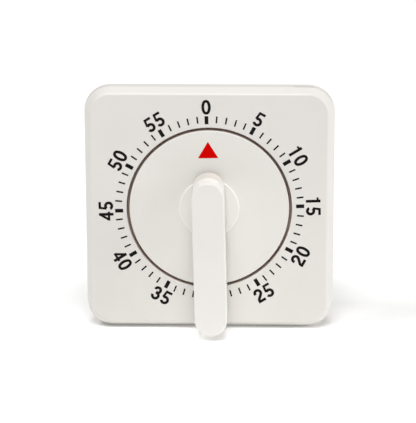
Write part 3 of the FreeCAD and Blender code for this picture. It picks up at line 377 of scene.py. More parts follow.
@dataclass(frozen=True)
class ScreenInk:
    """Screen-printed ink: flat, dense and slightly satin, with a trace of the mesh in its surface."""

    name: str
    colour: str
    worn: str
    roughness: float = 0.55
    sheen: float = 0.15  # level of the reflection off the matt binder
    mesh: float = 0.12  # pitch of the screen's threads

    def material(self) -> bpy.types.Material:
        """Make the material.

        Returns:
            The material, ready to be put on a piece.
        """
        graph = Graph(self.name)
        where = graph.add_node("TexCoord").outputs["Object"]
        mesh = graph.noise(where, self.mesh, detail=1.0)
        return graph.surface(
            {
                "Base Color": graph.ramp(mesh, (self.colour, self.worn), reach=(0.55, 0.95)),
                "Roughness": self.roughness,
                "Specular IOR Level": self.sheen,
                "Normal": graph.relief(mesh, strength=0.2, depth=0.005),
            }
        )


@dataclass(frozen=True)
class WorkedMetal:
    """A metal of the movement: fine parallel marks from rolling, cutting or turning."""

    name: str
    bright: str
    dull: str
    roughness: float
    marks: float = 0.4  # spacing of the tool's marks
    along: float = 0.08  # width of a mark as a share of its length
    polish: float = 0.08  # how far the marks sway the roughness

    def material(self) -> bpy.types.Material:
        """Make the material.

        Returns:
            The material, ready to be put on a piece.
        """
        graph = Graph(self.name)
        where = graph.add_node("TexCoord").outputs["Object"]
        drawn = graph.add_node("Mapping", inputs={"Vector": where, "Scale": (1, 1, self.along)})
        marks = graph.noise(drawn.outputs["Vector"], self.marks, detail=3.0)
        return graph.surface(
            {
                "Base Color": graph.ramp(marks, (self.dull, self.bright), reach=(0.3, 0.7)),
                "Roughness": graph.sway(marks, self.roughness, self.polish),
                "Metallic": 1.0,
            }
        )


# A warm white satin, the same for both halves of the case.
CASE_ABS = MouldedAbs("abs_white_case", pale="#E5E2DD", deep="#E3E0DB")
# The same, with rosy shade painted down in the well.
COVER_ABS = replace(CASE_ABS, name="abs_white_cover", dust="#E4D0C6")
# A shade paler and glossier than the case, with the same painted shade behind its edge.
DIAL_ABS = MouldedAbs("abs_white_dial", pale="#E9E6E1", deep="#E7E4DF", roughness=0.38, dust="#E4D0C6")
# The palest and glossiest of the three, with painted shade on the ledge above the hub and a painted
# highlight on the hub's rim.
GRIP_ABS = HandledAbs("abs_white_grip", pale="#EBE8E4", deep="#E9E6E2", roughness=0.3, dust="#D0CBC3")
# Dense black without a shine.
BLACK_INK = ScreenInk("ink_black", colour="#0A0706", worn="#16100E")
# A full red without a shine.
RED_INK = ScreenInk("ink_red", colour="#D40200", worn="#D80806", sheen=0.02)
# Warm yellow with fine straight marks.
BRASS = WorkedMetal("brass_stamped", bright="#D8BC78", dull="#B99A55", roughness=0.3)
# Cool pale grey, brightly marked by the tool.
STEEL = WorkedMetal("steel_turned", bright="#C9CACB", dull="#9A9C9E", roughness=0.28)
# Dark blue-grey from tempering.
SPRING_STEEL = WorkedMetal("spring_steel_blued", bright="#6D7688", dull="#485062", roughness=0.3)
# The smoothest of the metals, pale and slightly yellow.
NICKEL = WorkedMetal("nickel_plated_bell", bright="#DAD6CC", dull="#C2BDB2", roughness=0.18)
# Nearly black and quite without shine.
FERRITE = GroundFerrite("ferrite_ground", pale="#3A3A3B", deep="#303031", roughness=0.6, grain=0.5)


@dataclass(frozen=True)
class Outline:
    """A rounded rectangle at one lift."""

    left: float
    right: float
    bottom: float
    top: float
    corner: float
    lift: float


class Bench:
    """Where the new pieces are shaped, with the operators of Blender's edit mode."""

    CLOSE = 0.001  # places nearer than this are one place
    OVER = 1.0  # how far a cutter runs past what it cuts
    SMOOTH = math.radians(35)  # faces that meet more gently than this look like one

    @staticmethod
    def only(piece: bpy.types.Object) -> None:
        """Select one piece and nothing else.

        Args:
            piece: the piece.
        """
        bpy.ops.object.select_all(action="DESELECT")
        piece.select_set(True)
        bpy.context.view_layer.objects.active = piece

    @staticmethod
    @contextmanager
    def shaping(piece: bpy.types.Object) -> Iterator[None]:
        """Hold a piece in edit mode.

        Args:
            piece: the piece.

        Returns:
            A context that leaves edit mode again.
        """
        Bench.only(piece)
        bpy.ops.object.mode_set(mode="EDIT")
        yield
        bpy.ops.object.mode_set(mode="OBJECT")

    @staticmethod
    def take(name: str) -> bpy.types.Object:
        """Name the primitive that was just added and keep its place in its mesh.

        Args:
            name: the piece's name.

        Returns:
            The piece, with its object at the bench's origin.
        """
        piece = bpy.context.object
        piece.name = piece.data.name = name
        Bench.only(piece)
        bpy.ops.object.transform_apply(location=True, rotation=True, scale=True)
        return piece

    @staticmethod
    def pick(piece: bpy.types.Object, wanted: Callable[[Edge], bool]) -> None:
        """Select edges of a piece that is being shaped.

        Args:
            piece: the piece in edit mode.
            wanted: says whether an edge is selected.
        """
        bpy.ops.mesh.select_mode(type="EDGE")
        bpy.ops.mesh.select_all(action="DESELECT")
        mesh = bmesh.from_edit_mesh(piece.data)
        for edge in mesh.edges:
            edge.select_set(wanted(edge))
        bmesh.update_edit_mesh(piece.data)

    @staticmethod
    def level(edge: Edge, lift: float) -> bool:
        """Say whether an edge lies at a lift."""
        return all(abs(corner.co.z - lift) < Bench.CLOSE for corner in edge.verts)

    @staticmethod
    def outward(piece: bpy.types.Object) -> None:
        """Merge what coincides and point every face outwards.

        Args:
            piece: the piece.
        """
        with Bench.shaping(piece):
            bpy.ops.mesh.select_all(action="SELECT")
            bpy.ops.mesh.remove_doubles(threshold=Bench.CLOSE)
            bpy.ops.mesh.normals_make_consistent(inside=False)

    @staticmethod
    def loft(name: str, outlines: list[Outline], steps: int = 14) -> bpy.types.Object:
        """Stretch a closed skin over rounded rectangles.

        Args:
            name: the piece's name.
            outlines: the rectangles, from the back to the front or the other way.
            steps: the edges round each corner.

        Returns:
            The piece.
        """
        bpy.ops.mesh.primitive_plane_add(size=1)
        piece = Bench.take(name)
        with Bench.shaping(piece):
            for index, outline in enumerate(outlines):
                if index:
                    bpy.ops.mesh.select_all(action="DESELECT")
                    bpy.ops.mesh.primitive_plane_add(size=1)
                wide = outline.right - outline.left
                high = outline.top - outline.bottom
                middle = (outline.left + wide / 2, outline.bottom + high / 2, outline.lift)
                bpy.ops.transform.resize(value=(wide, high, 1), center_override=(0, 0, 0))
                bpy.ops.transform.translate(value=middle)
                bpy.ops.mesh.bevel(offset=outline.corner, segments=steps, affect="VERTICES")
                if not index:
                    continue
                behind = outlines[index - 1].lift
                bpy.ops.mesh.delete(type="ONLY_FACE")
                Bench.pick(
                    piece, lambda e: e.is_wire or (e.is_boundary and Bench.level(e, behind))
                )
                bpy.ops.mesh.bridge_edge_loops()
            Bench.pick(piece, lambda e: e.is_boundary)
            bpy.ops.mesh.edge_face_add()
        Bench.outward(piece)
        return piece

    @staticmethod
    def disc(
        name: str,
        radius: float,
        back: float,
        front: float,
        middle: tuple[float, float],
        sides: int = 48,
    ) -> bpy.types.Object:
        """Turn a round bar.

        Args:
            name: the piece's name.
            radius: its radius.
            back: the lift of its back end.
            front: the lift of its front end.
            middle: where its axis stands.
            sides: the faces round it.

        Returns:
            The piece.
        """
        bpy.ops.mesh.primitive_cylinder_add(
            vertices=sides, radius=radius, depth=front - back, location=(*middle, (front + back) / 2)
        )
        return Bench.take(name)

    @staticmethod
    def soften(piece: bpy.types.Object, lift: float, width: float, steps: int = 3) -> None:
        """Round the sharp edges of a piece that lie at one lift.

        Args:
            piece: the piece.
            lift: where its edges lie.
            width: how wide the rounding is.
            steps: the faces across the rounding.
        """
        with Bench.shaping(piece):
            Bench.pick(
                piece, lambda e: Bench.level(e, lift) and e.calc_face_angle(0) > Bench.SMOOTH / 2
            )
            bpy.ops.mesh.bevel(offset=width, segments=steps, affect="EDGES")

    @staticmethod
    def combine(piece: bpy.types.Object, tool: bpy.types.Object, way: Way) -> None:
        """Cut a tool out of a piece or fuse it on, and clear the tool away.

        Args:
            piece: the piece.
            tool: the other body.
            way: whether it is cut out or fused on.
        """
        Bench.only(piece)
        bpy.ops.object.modifier_add(type="BOOLEAN")
        modifier = piece.modifiers[-1]
        modifier.operation = way.name
        modifier.solver = "EXACT"
        modifier.object = tool
        bpy.ops.object.modifier_apply(modifier=modifier.name)
        bpy.data.objects.remove(tool)
        Bench.outward(piece)

    @staticmethod
    def join(name: str, pieces: list[bpy.types.Object]) -> bpy.types.Object:
        """Make several pieces one.

        Args:
            name: the name of the whole.
            pieces: its parts.

        Returns:
            The joined piece.
        """
        Bench.only(pieces[0])
        for piece in pieces:
            piece.select_set(True)
        bpy.ops.object.join()
        whole = bpy.context.object
        whole.name = whole.data.name = name
        return whole

    @staticmethod
    def copy(piece: bpy.types.Object, place: Matrix) -> bpy.types.Object:
        """Copy a piece with its own mesh.

        Args:
            piece: the piece to copy.
            place: where the copy goes.

        Returns:
            The copy.
        """
        Bench.only(piece)
        bpy.ops.object.duplicate(linked=False)
        twin = bpy.context.object
        twin.data.transform(place)
        return twin

    @staticmethod
    def raise_flat(piece: bpy.types.Object, rise: float) -> None:
        """Give a flat piece a thickness towards the viewer.

        Args:
            piece: the flat piece.
            rise: its thickness.
        """
        with Bench.shaping(piece):
            bpy.ops.mesh.select_all(action="SELECT")
            bpy.ops.mesh.extrude_region_move(TRANSFORM_OT_translate={"value": (0, 0, rise)})
            bpy.ops.mesh.select_all(action="SELECT")
            bpy.ops.mesh.normals_make_consistent(inside=False)

    @staticmethod
    def stand(
        piece: bpy.types.Object,
        body: str,
        finish: bpy.types.Material,
        slot: str = "",
        replaced: str = "",
    ) -> None:
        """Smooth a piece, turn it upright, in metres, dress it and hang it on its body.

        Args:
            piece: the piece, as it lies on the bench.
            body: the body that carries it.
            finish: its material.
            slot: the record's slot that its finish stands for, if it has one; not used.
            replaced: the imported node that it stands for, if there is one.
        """
        piece.data.transform(Matrix.Rotation(math.radians(90), 4, "X") @ Matrix.Scale(MM, 4))
        Bench.only(piece)
        bpy.ops.object.shade_smooth_by_angle(angle=Bench.SMOOTH)
        bpy.ops.object.modifier_add(type="WEIGHTED_NORMAL")
        modifier = piece.modifiers[-1]
        modifier.keep_sharp = True
        bpy.ops.object.modifier_apply(modifier=modifier.name)
        piece.data.materials.clear()
        piece.data.materials.append(finish)
        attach(piece, body)
        if replaced:
            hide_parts(replaced)
        LOG.info("%s rides %s: %d faces", piece.name, body, len(piece.data.polygons))


@dataclass(frozen=True)
class Stroke:
    """One pass of the numerals' pen.

    A move is a length and a turn: with no turn it is a straight run of that length, and otherwise an
    arc of that radius, turning left by so many degrees.
    """

    start: tuple[float, float]
    heading: float
    moves: tuple[tuple[float, float], ...]
    width: float = 0.89


FIGURES: dict[str, tuple[Stroke, ...]] = {
    "0": (
        Stroke(
            (-1.04, 0.0),
            90,
            ((3.56, -24.07), (0.8, -131.86), (3.56, -48.14), (0.8, -131.86), (3.56, -24.07)),
        ),
    ),
    "1": (
        Stroke((0.1, -2.33), 90, ((4.66, 0),)),
        Stroke((-1.1, 1.4), 0, ((0.35, 0), (0.8, 62)), 0.62),
    ),
    "2": (
        Stroke((-0.98, 0.72), 90, ((0.2, 0), (0.98, -215), (2.0, -12), (1.45, 0), (1.0, 47))),
        Stroke((-1.28, -1.93), 0, ((2.58, 0),)),
    ),
    "3": (
        Stroke((-0.90, 1.0), 90, ((0.05, 0), (0.88, -270), (0.3, 0))),
        Stroke((-0.97, -0.87), 270, ((0.05, 0), (0.99, 270), (0.3, 0))),
    ),
    "4": (
        Stroke((0.6, -2.34), 90, ((4.68, 0),)),
        Stroke((-1.5, -0.86), 0, ((2.95, 0),), 0.75),
        Stroke((-1.22, -0.9), 58, ((3.3, 0),), 0.75),
    ),
    "5": (
        Stroke((-0.95, 1.95), 0, ((2.27, 0),), 0.8),
        Stroke((-0.58, 2.3), 262, ((2.5, 0),), 0.72),
        Stroke((-0.85, -0.23), 50, ((1.03, -295),)),
    ),
}


@dataclass
class MinutePrint:
    """The printed ring round the well: sixty marks and twelve numerals."""

    centre: tuple[float, float] = (0.1, 40.5)
    face_lift: float = FACE
    ink: float = 0.03
    turn: float = 1.75  # the whole print sits this far anticlockwise on its case
    marks: int = 60
    numbered: int = 5
    mark_inner: float = 28.1
    mark_outer: float = 30.3
    mark_width: float = 0.5
    mark_round: float = 0.08
    mark_lag: float = 0.05  # the fine marks stand this part of a minute clockwise of their places
    strong_inner: float = 27.7
    strong_width: float = 1.2
    arc_step: float = 9.0  # degrees of an arc that one straight face of a figure spans
    numeral_radius: float = 33.2
    advance: float = 3.42
    inward_from: int = 20
    inward_to: int = 40

    def place(self, minute: float, radius: float, spin: float = 0.0) -> Matrix:
        """Give the place of something on the ring.

        Args:
            minute: the minute it stands at.
            radius: its distance from the axis.
            spin: degrees that it is turned where it stands.

        Returns:
            The matrix that takes it there from the bench's origin.
        """
        turn = Matrix.Rotation(math.radians(self.turn - 360 * minute / self.marks), 4, "Z")
        middle = Matrix.Translation((*self.centre, self.face_lift))
        own_turn = Matrix.Rotation(math.radians(spin), 4, "Z")
        return middle @ turn @ Matrix.Translation((0, radius, 0)) @ own_turn

    def mark(self, name: str, inner: float, width: float) -> bpy.types.Object:
        """Cut one mark of the ring, lying at the bench's origin.

        Args:
            name: the mark's name.
            inner: how far from the axis it starts.
            width: how wide it is.

        Returns:
            The flat mark.
        """
        length = self.mark_outer - inner
        bpy.ops.mesh.primitive_plane_add(size=1)
        piece = bpy.context.object
        piece.scale = (width, length, 1)
        piece = Bench.take(name)
        with Bench.shaping(piece):
            bpy.ops.mesh.select_all(action="SELECT")
            bpy.ops.mesh.bevel(offset=self.mark_round, segments=2, affect="VERTICES")
        return piece

    def stroke(self, stroke: Stroke) -> bpy.types.Object:
        """Draw one pass of the pen.

        Args:
            stroke: the pass.

        Returns:
            The flat stroke.
        """
        bpy.ops.mesh.primitive_plane_add(size=stroke.width)
        nib = Bench.take("stroke")
        with Bench.shaping(nib):
            bpy.ops.mesh.select_all(action="SELECT")
            bpy.ops.transform.resize(value=(0, 1, 1))
            bpy.ops.mesh.remove_doubles(threshold=Bench.CLOSE)
            bpy.ops.mesh.select_all(action="SELECT")
            spot = Vector((*stroke.start, 0))
            heading = math.radians(stroke.heading)
            bpy.ops.transform.rotate(value=-heading, orient_axis="Z", center_override=(0, 0, 0))
            bpy.ops.transform.translate(value=spot)
            for length, turn in stroke.moves:
                ahead = Vector((math.cos(heading), math.sin(heading), 0))
                if not turn:
                    bpy.ops.mesh.extrude_region_move(TRANSFORM_OT_translate={"value": ahead * length})
                    spot += ahead * length
                    continue
                left = Vector((-ahead.y, ahead.x, 0)) * math.copysign(length, turn)
                bpy.ops.mesh.spin(
                    steps=max(3, round(abs(turn) / self.arc_step)),
                    angle=-math.radians(turn),
                    center=spot + left,
                    axis=(0, 0, 1),
                )
                spot = spot + left - Matrix.Rotation(math.radians(turn), 3, "Z") @ left
                heading += math.radians(turn)
        return nib

    def figure(self, name: str) -> bpy.types.Object:
        """Draw one figure of the numerals, its strokes fused.

        Args:
            name: the figure.

        Returns:
            The raised figure, lying at the bench's origin.
        """
        strokes = [self.stroke(stroke) for stroke in FIGURES[name]]
        for stroke in strokes:
            Bench.raise_flat(stroke, self.ink)
            Bench.outward(stroke)
        for stroke in strokes[1:]:
            Bench.combine(strokes[0], stroke, Way.UNION)
        return strokes[0]

    def build(self, finish: bpy.types.Material) -> None:
        """Print the ring on the case.

        Args:
            finish: the ink.
        """
        fine = self.mark("fine", self.mark_inner, self.mark_width)
        strong = self.mark("strong", self.strong_inner, self.strong_width)
        fine_radius = (self.mark_inner + self.mark_outer) / 2
        strong_radius = (self.strong_inner + self.mark_outer) / 2
        marks = []
        for minute in range(self.marks):
            if minute % self.numbered == 0:
                marks.append(Bench.copy(strong, self.place(minute, strong_radius)))
            else:
                marks.append(Bench.copy(fine, self.place(minute + self.mark_lag, fine_radius)))
        for source in (fine, strong):
            bpy.data.objects.remove(source)
        ring = Bench.join("minute_marks", marks)
        Bench.raise_flat(ring, self.ink)
        Bench.stand(ring, "case", finish)
        figures = {name: self.figure(name) for name in FIGURES}
        printed = []
        for minute in range(0, self.marks, self.numbered):
            inward = self.inward_from <= minute <= self.inward_to
            side = Side.INWARD if inward else Side.OUTWARD
            place = self.place(minute, self.numeral_radius, side.value)
            digits = str(minute)
            for index, digit in enumerate(digits):
                shift = (index - (len(digits) - 1) / 2) * self.advance
                printed.append(Bench.copy(figures[digit], place @ Matrix.Translation((shift, 0, 0))))
        for source in figures.values():
            bpy.data.objects.remove(source)
        numerals = Bench.join("minute_numerals", printed)
        Bench.stand(numerals, "case", finish)


@dataclass
class PointerPrint:
    """The red triangle printed on the dial, above the grip."""

    centre: tuple[float, float] = AXIS
    dial_lift: float = FACE
    ink: float = 0.03
    turn: float = 1.0
    apex: float = 21.95
    base: float = 16.6
    width: float = 6.5
    apex_round: float = 0.25

    def build(self, finish: bpy.types.Material) -> None:
        """Print the triangle.

        Args:
            finish: the ink.
        """
        height = self.apex - self.base
        bpy.ops.mesh.primitive_circle_add(vertices=3, radius=1, fill_type="NGON")
        piece = bpy.context.object
        piece.scale = (self.width / math.sqrt(3), height / 1.5, 1)
        piece = Bench.take("red_triangle")
        with Bench.shaping(piece):
            bpy.ops.mesh.select_all(action="SELECT")
            bpy.ops.mesh.bevel(offset=self.apex_round, segments=4, affect="VERTICES")
        middle = Matrix.Translation((*self.centre, self.dial_lift))
        turn = Matrix.Rotation(math.radians(self.turn), 4, "Z")
        lift = Matrix.Translation((0, self.base + height / 3, 0))
        piece.data.transform(middle @ turn @ lift)
        Bench.raise_flat(piece, self.ink)
        Bench.stand(piece, "dial", finish)


@dataclass
class Case:
    """The case: a bevelled front cover with its well, and a rear shell that narrows to the back."""

    width: float = 80.0
    corner: float = 8.6
    face_lift: float = FACE
    seam_lift: float = 12.95
    rim_lift: float = 10.5
    back_lift: float = -16.0
    face_inset: float = 2.16
    seam_inset: float = 0.36
    back_half: float = 34.0
    back_height: float = 72.0
    wall: float = 2.0
    rim_wall: float = 2.4
    tongue_inset: float = 2.5
    tongue_wall: float = 1.2
    tongue_lift: float = 11.2
    face_round: float = 0.5
    back_round: float = 0.9
    axis: tuple[float, float] = AXIS
    well_radius: float = 26.5
    well_lift: float = 11.5
    well_wall: float = 1.8
    well_hole: float = 5.2
    lip_round: float = 0.3
    post_radius: float = 2.6
    post_back: float = 9.4
    post_across: float = 27.3
    post_low: float = 16.7
    post_high: float = 59.8
    boss_radius: float = 3.4
    boss_across: float = 27.0
    boss_low: float = 8.0
    boss_high: float = 67.0
    screw_well: float = 2.4
    screw_bore: float = 1.4
    screw_seat: float = 2.0
    magnet_radius: float = 10.1
    magnet_height: float = 36.0
    magnet_rise: float = 1.5
    slot_ring: float = 17.0
    slot_length: float = 9.0
    slot_width: float = 1.8
    slot_count: int = 8
    notch_across: float = 30.0
    notch_length: float = 6.4
    notch_width: float = 0.45
    notch_depth: float = 1.0
    well_sides: int = 144
    magnet_sides: int = 96

    def outline(self, inset: float, lift: float) -> Outline:
        """Give the case's own outline, drawn in by an inset."""
        half = self.width / 2 - inset
        return Outline(-half, half, inset, self.width - inset, self.corner - inset, lift)

    def back_outline(self, inset: float, lift: float, corner: float) -> Outline:
        """Give the outline of the back, drawn in by an inset."""
        half = self.back_half - inset
        return Outline(-half, half, inset, self.back_height - inset, corner, lift)

    def screws(self) -> tuple[float, float, float]:
        """Say where the four case screws stand: their distance from the middle and both heights."""
        return self.boss_across, self.boss_low, self.boss_high

    @staticmethod
    def bars(
        name: str, radius: float, reach: tuple[float, float], spots: tuple[float, float, float]
    ) -> bpy.types.Object:
        """Turn four like bars, two each side of the middle.

        Args:
            name: their name.
            radius: the radius of each.
            reach: the lifts of their back and front ends.
            spots: their distance from the middle, and their lower and upper height.

        Returns:
            The four bars as one piece.
        """
        across, *heights = spots
        places = [(side * across, height) for side in (-1, 1) for height in heights]
        return Bench.join(name, [Bench.disc(name, radius, *reach, place) for place in places])

    def cover(self) -> bpy.types.Object:
        """Mould the front cover.

        Returns:
            The cover, as it lies on the bench.
        """
        inner = self.tongue_inset + self.tongue_wall
        under = self.face_lift - self.wall
        seam = self.outline(self.seam_inset, self.seam_lift)
        face = self.outline(self.face_inset, self.face_lift)
        cover = Bench.loft("front_cover_moulding", [seam, face])
        Bench.soften(cover, self.face_lift, self.face_round, steps=4)
        lifts = (self.tongue_lift, self.seam_lift + self.wall / 4)
        tongue = Bench.loft("tongue", [self.outline(self.tongue_inset, lift) for lift in lifts])
        Bench.combine(cover, tongue, Way.UNION)
        lifts = (self.tongue_lift - self.wall, under)
        hollow = Bench.loft("hollow", [self.outline(inner, lift) for lift in lifts])
        Bench.combine(cover, hollow, Way.DIFFERENCE)
        front = under + self.wall / 2
        cup_radius = self.well_radius + self.well_wall
        cup_back = self.well_lift - self.well_wall
        cup = Bench.disc("cup", cup_radius, cup_back, front, self.axis, self.well_sides)
        Bench.combine(cover, cup, Way.UNION)
        open_front = self.face_lift + self.wall
        floor = self.well_lift
        well = Bench.disc("well", self.well_radius, floor, open_front, self.axis, self.well_sides)
        Bench.combine(cover, well, Way.DIFFERENCE)
        self.round_lip(cover)
        behind = self.post_back - self.wall
        hole = Bench.disc("hole", self.well_hole, behind, self.face_lift, self.axis)
        Bench.combine(cover, hole, Way.DIFFERENCE)
        spots = (self.post_across, self.post_low, self.post_high)
        posts = self.bars("posts", self.post_radius, (self.post_back, front), spots)
        Bench.combine(cover, posts, Way.UNION)
        bosses = self.bars("bosses", self.boss_radius, (self.tongue_lift, front), self.screws())
        Bench.combine(cover, bosses, Way.UNION)
        return cover

    def round_lip(self, cover: bpy.types.Object) -> None:
        """Round the lip of the well.

        Args:
            cover: the front cover.
        """

        def on_lip(edge: Edge) -> bool:
            """Say whether an edge is part of the lip.

            Args:
                edge: the edge.

            Returns:
                Whether it is.
            """
            middle = Vector((*self.axis, self.face_lift))
            reach = [abs((corner.co - middle).length - self.well_radius) for corner in edge.verts]
            return Bench.level(edge, self.face_lift) and max(reach) < Bench.CLOSE

        with Bench.shaping(cover):
            Bench.pick(cover, on_lip)
            bpy.ops.mesh.bevel(offset=self.lip_round, segments=3, affect="EDGES")

    def shell(self) -> bpy.types.Object:
        """Mould the rear shell.

        Returns:
            The shell, as it lies on the bench.
        """
        shell = Bench.loft(
            "rear_shell_moulding",
            [
                self.outline(self.seam_inset, self.seam_lift),
                self.outline(0.0, self.rim_lift),
                self.back_outline(0.0, self.back_lift, self.corner),
            ],
        )
        Bench.soften(shell, self.back_lift, self.back_round, steps=4)
        Bench.soften(shell, self.rim_lift, self.face_round)
        inner_corner = self.corner - self.rim_wall
        room = Bench.loft(
            "room",
            [
                self.outline(self.rim_wall, self.seam_lift + self.wall),
                self.outline(self.rim_wall, self.rim_lift),
                self.back_outline(self.wall, self.back_lift + self.wall, inner_corner),
            ],
        )
        Bench.combine(shell, room, Way.DIFFERENCE)
        inside = self.back_lift + self.wall / 2
        bosses = self.bars("bosses", self.boss_radius, (inside, self.tongue_lift), self.screws())
        Bench.combine(shell, bosses, Way.UNION)
        behind = self.back_lift - self.wall
        wells = self.bars("wells", self.screw_well, (behind, self.screw_seat), self.screws())
        Bench.combine(shell, wells, Way.DIFFERENCE)
        bores = self.bars("bores", self.screw_bore, (0.0, self.seam_lift), self.screws())
        Bench.combine(shell, bores, Way.DIFFERENCE)
        middle = (0.0, self.magnet_height)
        seat_radius = self.magnet_radius + self.wall / 2
        seat_front = inside + self.magnet_rise
        seat = Bench.disc("seat", seat_radius, inside, seat_front, middle, self.magnet_sides)
        Bench.combine(shell, seat, Way.UNION)
        floor = self.back_lift + self.magnet_rise
        recess = Bench.disc("recess", self.magnet_radius, behind, floor, middle, self.magnet_sides)
        Bench.combine(shell, recess, Way.DIFFERENCE)
        Bench.combine(shell, self.slots(), Way.DIFFERENCE)
        Bench.combine(shell, self.notch(), Way.DIFFERENCE)
        return shell

    def slots(self) -> bpy.types.Object:
        """Make the cutter of the ring of sound slots.

        Returns:
            The cutter.
        """
        half, thick = self.slot_length / 2, self.slot_width / 2
        lifts = (self.back_lift - self.wall, self.back_lift + 2 * self.wall)
        outlines = [Outline(-half, half, -thick, thick, thick / 2, lift) for lift in lifts]
        slot = Bench.loft("slot", outlines, steps=4)
        middle = Matrix.Translation((0, self.magnet_height, 0))
        out = Matrix.Translation((0, self.slot_ring, 0))
        cutters = []
        for index in range(self.slot_count):
            turn = Matrix.Rotation(math.tau * (index + 0.5) / self.slot_count, 4, "Z")
            cutters.append(Bench.copy(slot, middle @ turn @ out))
        bpy.data.objects.remove(slot)
        return Bench.join("slots", cutters)

    def notch(self) -> bpy.types.Object:
        """Make the cutter of the pry notch in the parting line.

        Returns:
            The cutter.
        """
        half = self.notch_length / 2
        low = self.width - self.notch_depth
        box = (self.notch_across - half, self.notch_across + half, low, self.width + self.notch_depth)
        back = self.seam_lift - self.notch_width
        corner = self.notch_width / 2
        outlines = [Outline(*box, corner, back), Outline(*box, corner, self.seam_lift + Bench.OVER)]
        return Bench.loft("notch", outlines, steps=2)

    def build(self, cover_finish: bpy.types.Material, shell_finish: bpy.types.Material) -> None:
        """Mould both halves of the case and finish them."""
        Bench.stand(self.cover(), "case", cover_finish, "housing", "front_cover")
        Bench.stand(self.shell(), "case", shell_finish, "housing", "rear_shell")


@dataclass
class Dial:
    """The dial: a thin round face with a skirt behind its edge."""

    axis: tuple[float, float] = AXIS
    radius: float = 25.55
    face_lift: float = FACE
    skin: float = 1.6
    skirt: float = 1.25
    skirt_lift: float = 12.7
    edge_round: float = 0.3
    boss_radius: float = 6.0
    boss_lift: float = 12.9
    bore: float = 3.4
    sides: int = 160

    def build(self, finish: bpy.types.Material) -> None:
        """Mould the dial.

        Args:
            finish: its material.
        """
        back, front = self.skirt_lift, self.face_lift
        dial = Bench.disc("dial_moulding", self.radius, back, front, self.axis, self.sides)
        Bench.soften(dial, front, self.edge_round)
        room_front = self.face_lift - self.skin
        inner = self.radius - self.skirt
        room = Bench.disc("room", inner, back - self.skin, room_front, self.axis, self.sides)
        Bench.combine(dial, room, Way.DIFFERENCE)
        boss_front = self.face_lift - self.skin / 2
        boss = Bench.disc("boss", self.boss_radius, self.boss_lift, boss_front, self.axis)
        Bench.combine(dial, boss, Way.UNION)
        bore = Bench.disc("bore", self.bore, back - Bench.OVER, front + Bench.OVER, self.axis)
        Bench.combine(dial, bore, Way.DIFFERENCE)
        Bench.stand(dial, "dial", finish, "dial", "dial_disc")


@dataclass
class Knob:
    """The knob: a low round hub and a long lever grip in two widths, turned with the dial."""

    axis: tuple[float, float] = AXIS
    turn: float = 1.4
    face_lift: float = FACE
    hub_radius: float = 9.63
    hub_rise: float = 0.4
    hub_round: float = 0.2
    under: float = 16.8
    waist: float = 22.2
    front: float = 29.4
    half_width: float = 5.15
    step: float = 0.45
    foot_step: float = 0.05
    crown: float = 0.45
    up: float = 11.7
    down: float = 38.8
    front_round: float = 0.45
    stem_radius: float = 3.4
    stem_lift: float = 10.9
    bore: float = 1.53
    bore_front: float = 20.03
    hub_sides: int = 120
    stem_sides: int = 64

    def bar(self, inset: float, lift: float, crown: float = 0.0) -> Outline:
        """Give the grip's outline, drawn in by an inset and raised at its upper end by a crown."""
        half = self.half_width - inset
        return Outline(-half, half, -self.down + inset, self.up - inset + crown, half, lift)

    def build(self, finish: bpy.types.Material) -> None:
        """Mould the knob.

        Args:
            finish: its material.
        """
        lower = [self.bar(self.foot_step, self.under, self.crown), self.bar(self.step, self.waist)]
        upper = [self.bar(0.0, self.waist), self.bar(0.0, self.front)]
        grip = Bench.loft("knob_moulding", lower + upper, steps=20)
        Bench.soften(grip, self.front, self.front_round, steps=5)
        middle = (0.0, 0.0)
        hub_front = self.face_lift + self.hub_rise
        hub = Bench.disc("hub", self.hub_radius, self.face_lift, hub_front, middle, self.hub_sides)
        Bench.soften(hub, hub_front, self.hub_round)
        neck_radius = self.half_width - self.step
        neck_front = self.under + Bench.OVER
        neck = Bench.disc("neck", neck_radius, self.face_lift, neck_front, middle, self.stem_sides)
        Bench.combine(grip, neck, Way.UNION)
        Bench.combine(grip, hub, Way.UNION)
        back = self.stem_lift
        stem = Bench.disc("stem", self.stem_radius, back, self.under, middle, self.stem_sides)
        Bench.combine(grip, stem, Way.UNION)
        bore = Bench.disc("bore", self.bore, back - Bench.OVER, self.bore_front, middle)
        Bench.combine(grip, bore, Way.DIFFERENCE)
        turn = Matrix.Rotation(math.radians(self.turn), 4, "Z")
        grip.data.transform(Matrix.Translation((*self.axis, 0)) @ turn)
        Bench.stand(grip, "dial", finish, "grip", "lever_knob")


@dataclass
class Frame:
    """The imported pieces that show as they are, and the finish of each."""

    nodes: dict[str, bpy.types.Object]

    def dress(self, finishes: dict[str, bpy.types.Material]) -> None:
        """Give every node the finish of its slot.

        Args:
            finishes: the finish of each slot of the record.
        """
        for name, node in sorted(self.nodes.items()):
            slot = node.data.materials[0].name.split(".")[0]
            node.data.materials[0] = finishes[slot]
            LOG.info("%s keeps its mesh and is finished as %s", name, slot)


@dataclass(frozen=True)
class Lamp:
    """One soft distant lamp: degrees to the timer's right, degrees up, and its strength."""

    name: str
    azimuth: float
    elevation: float
    strength: float


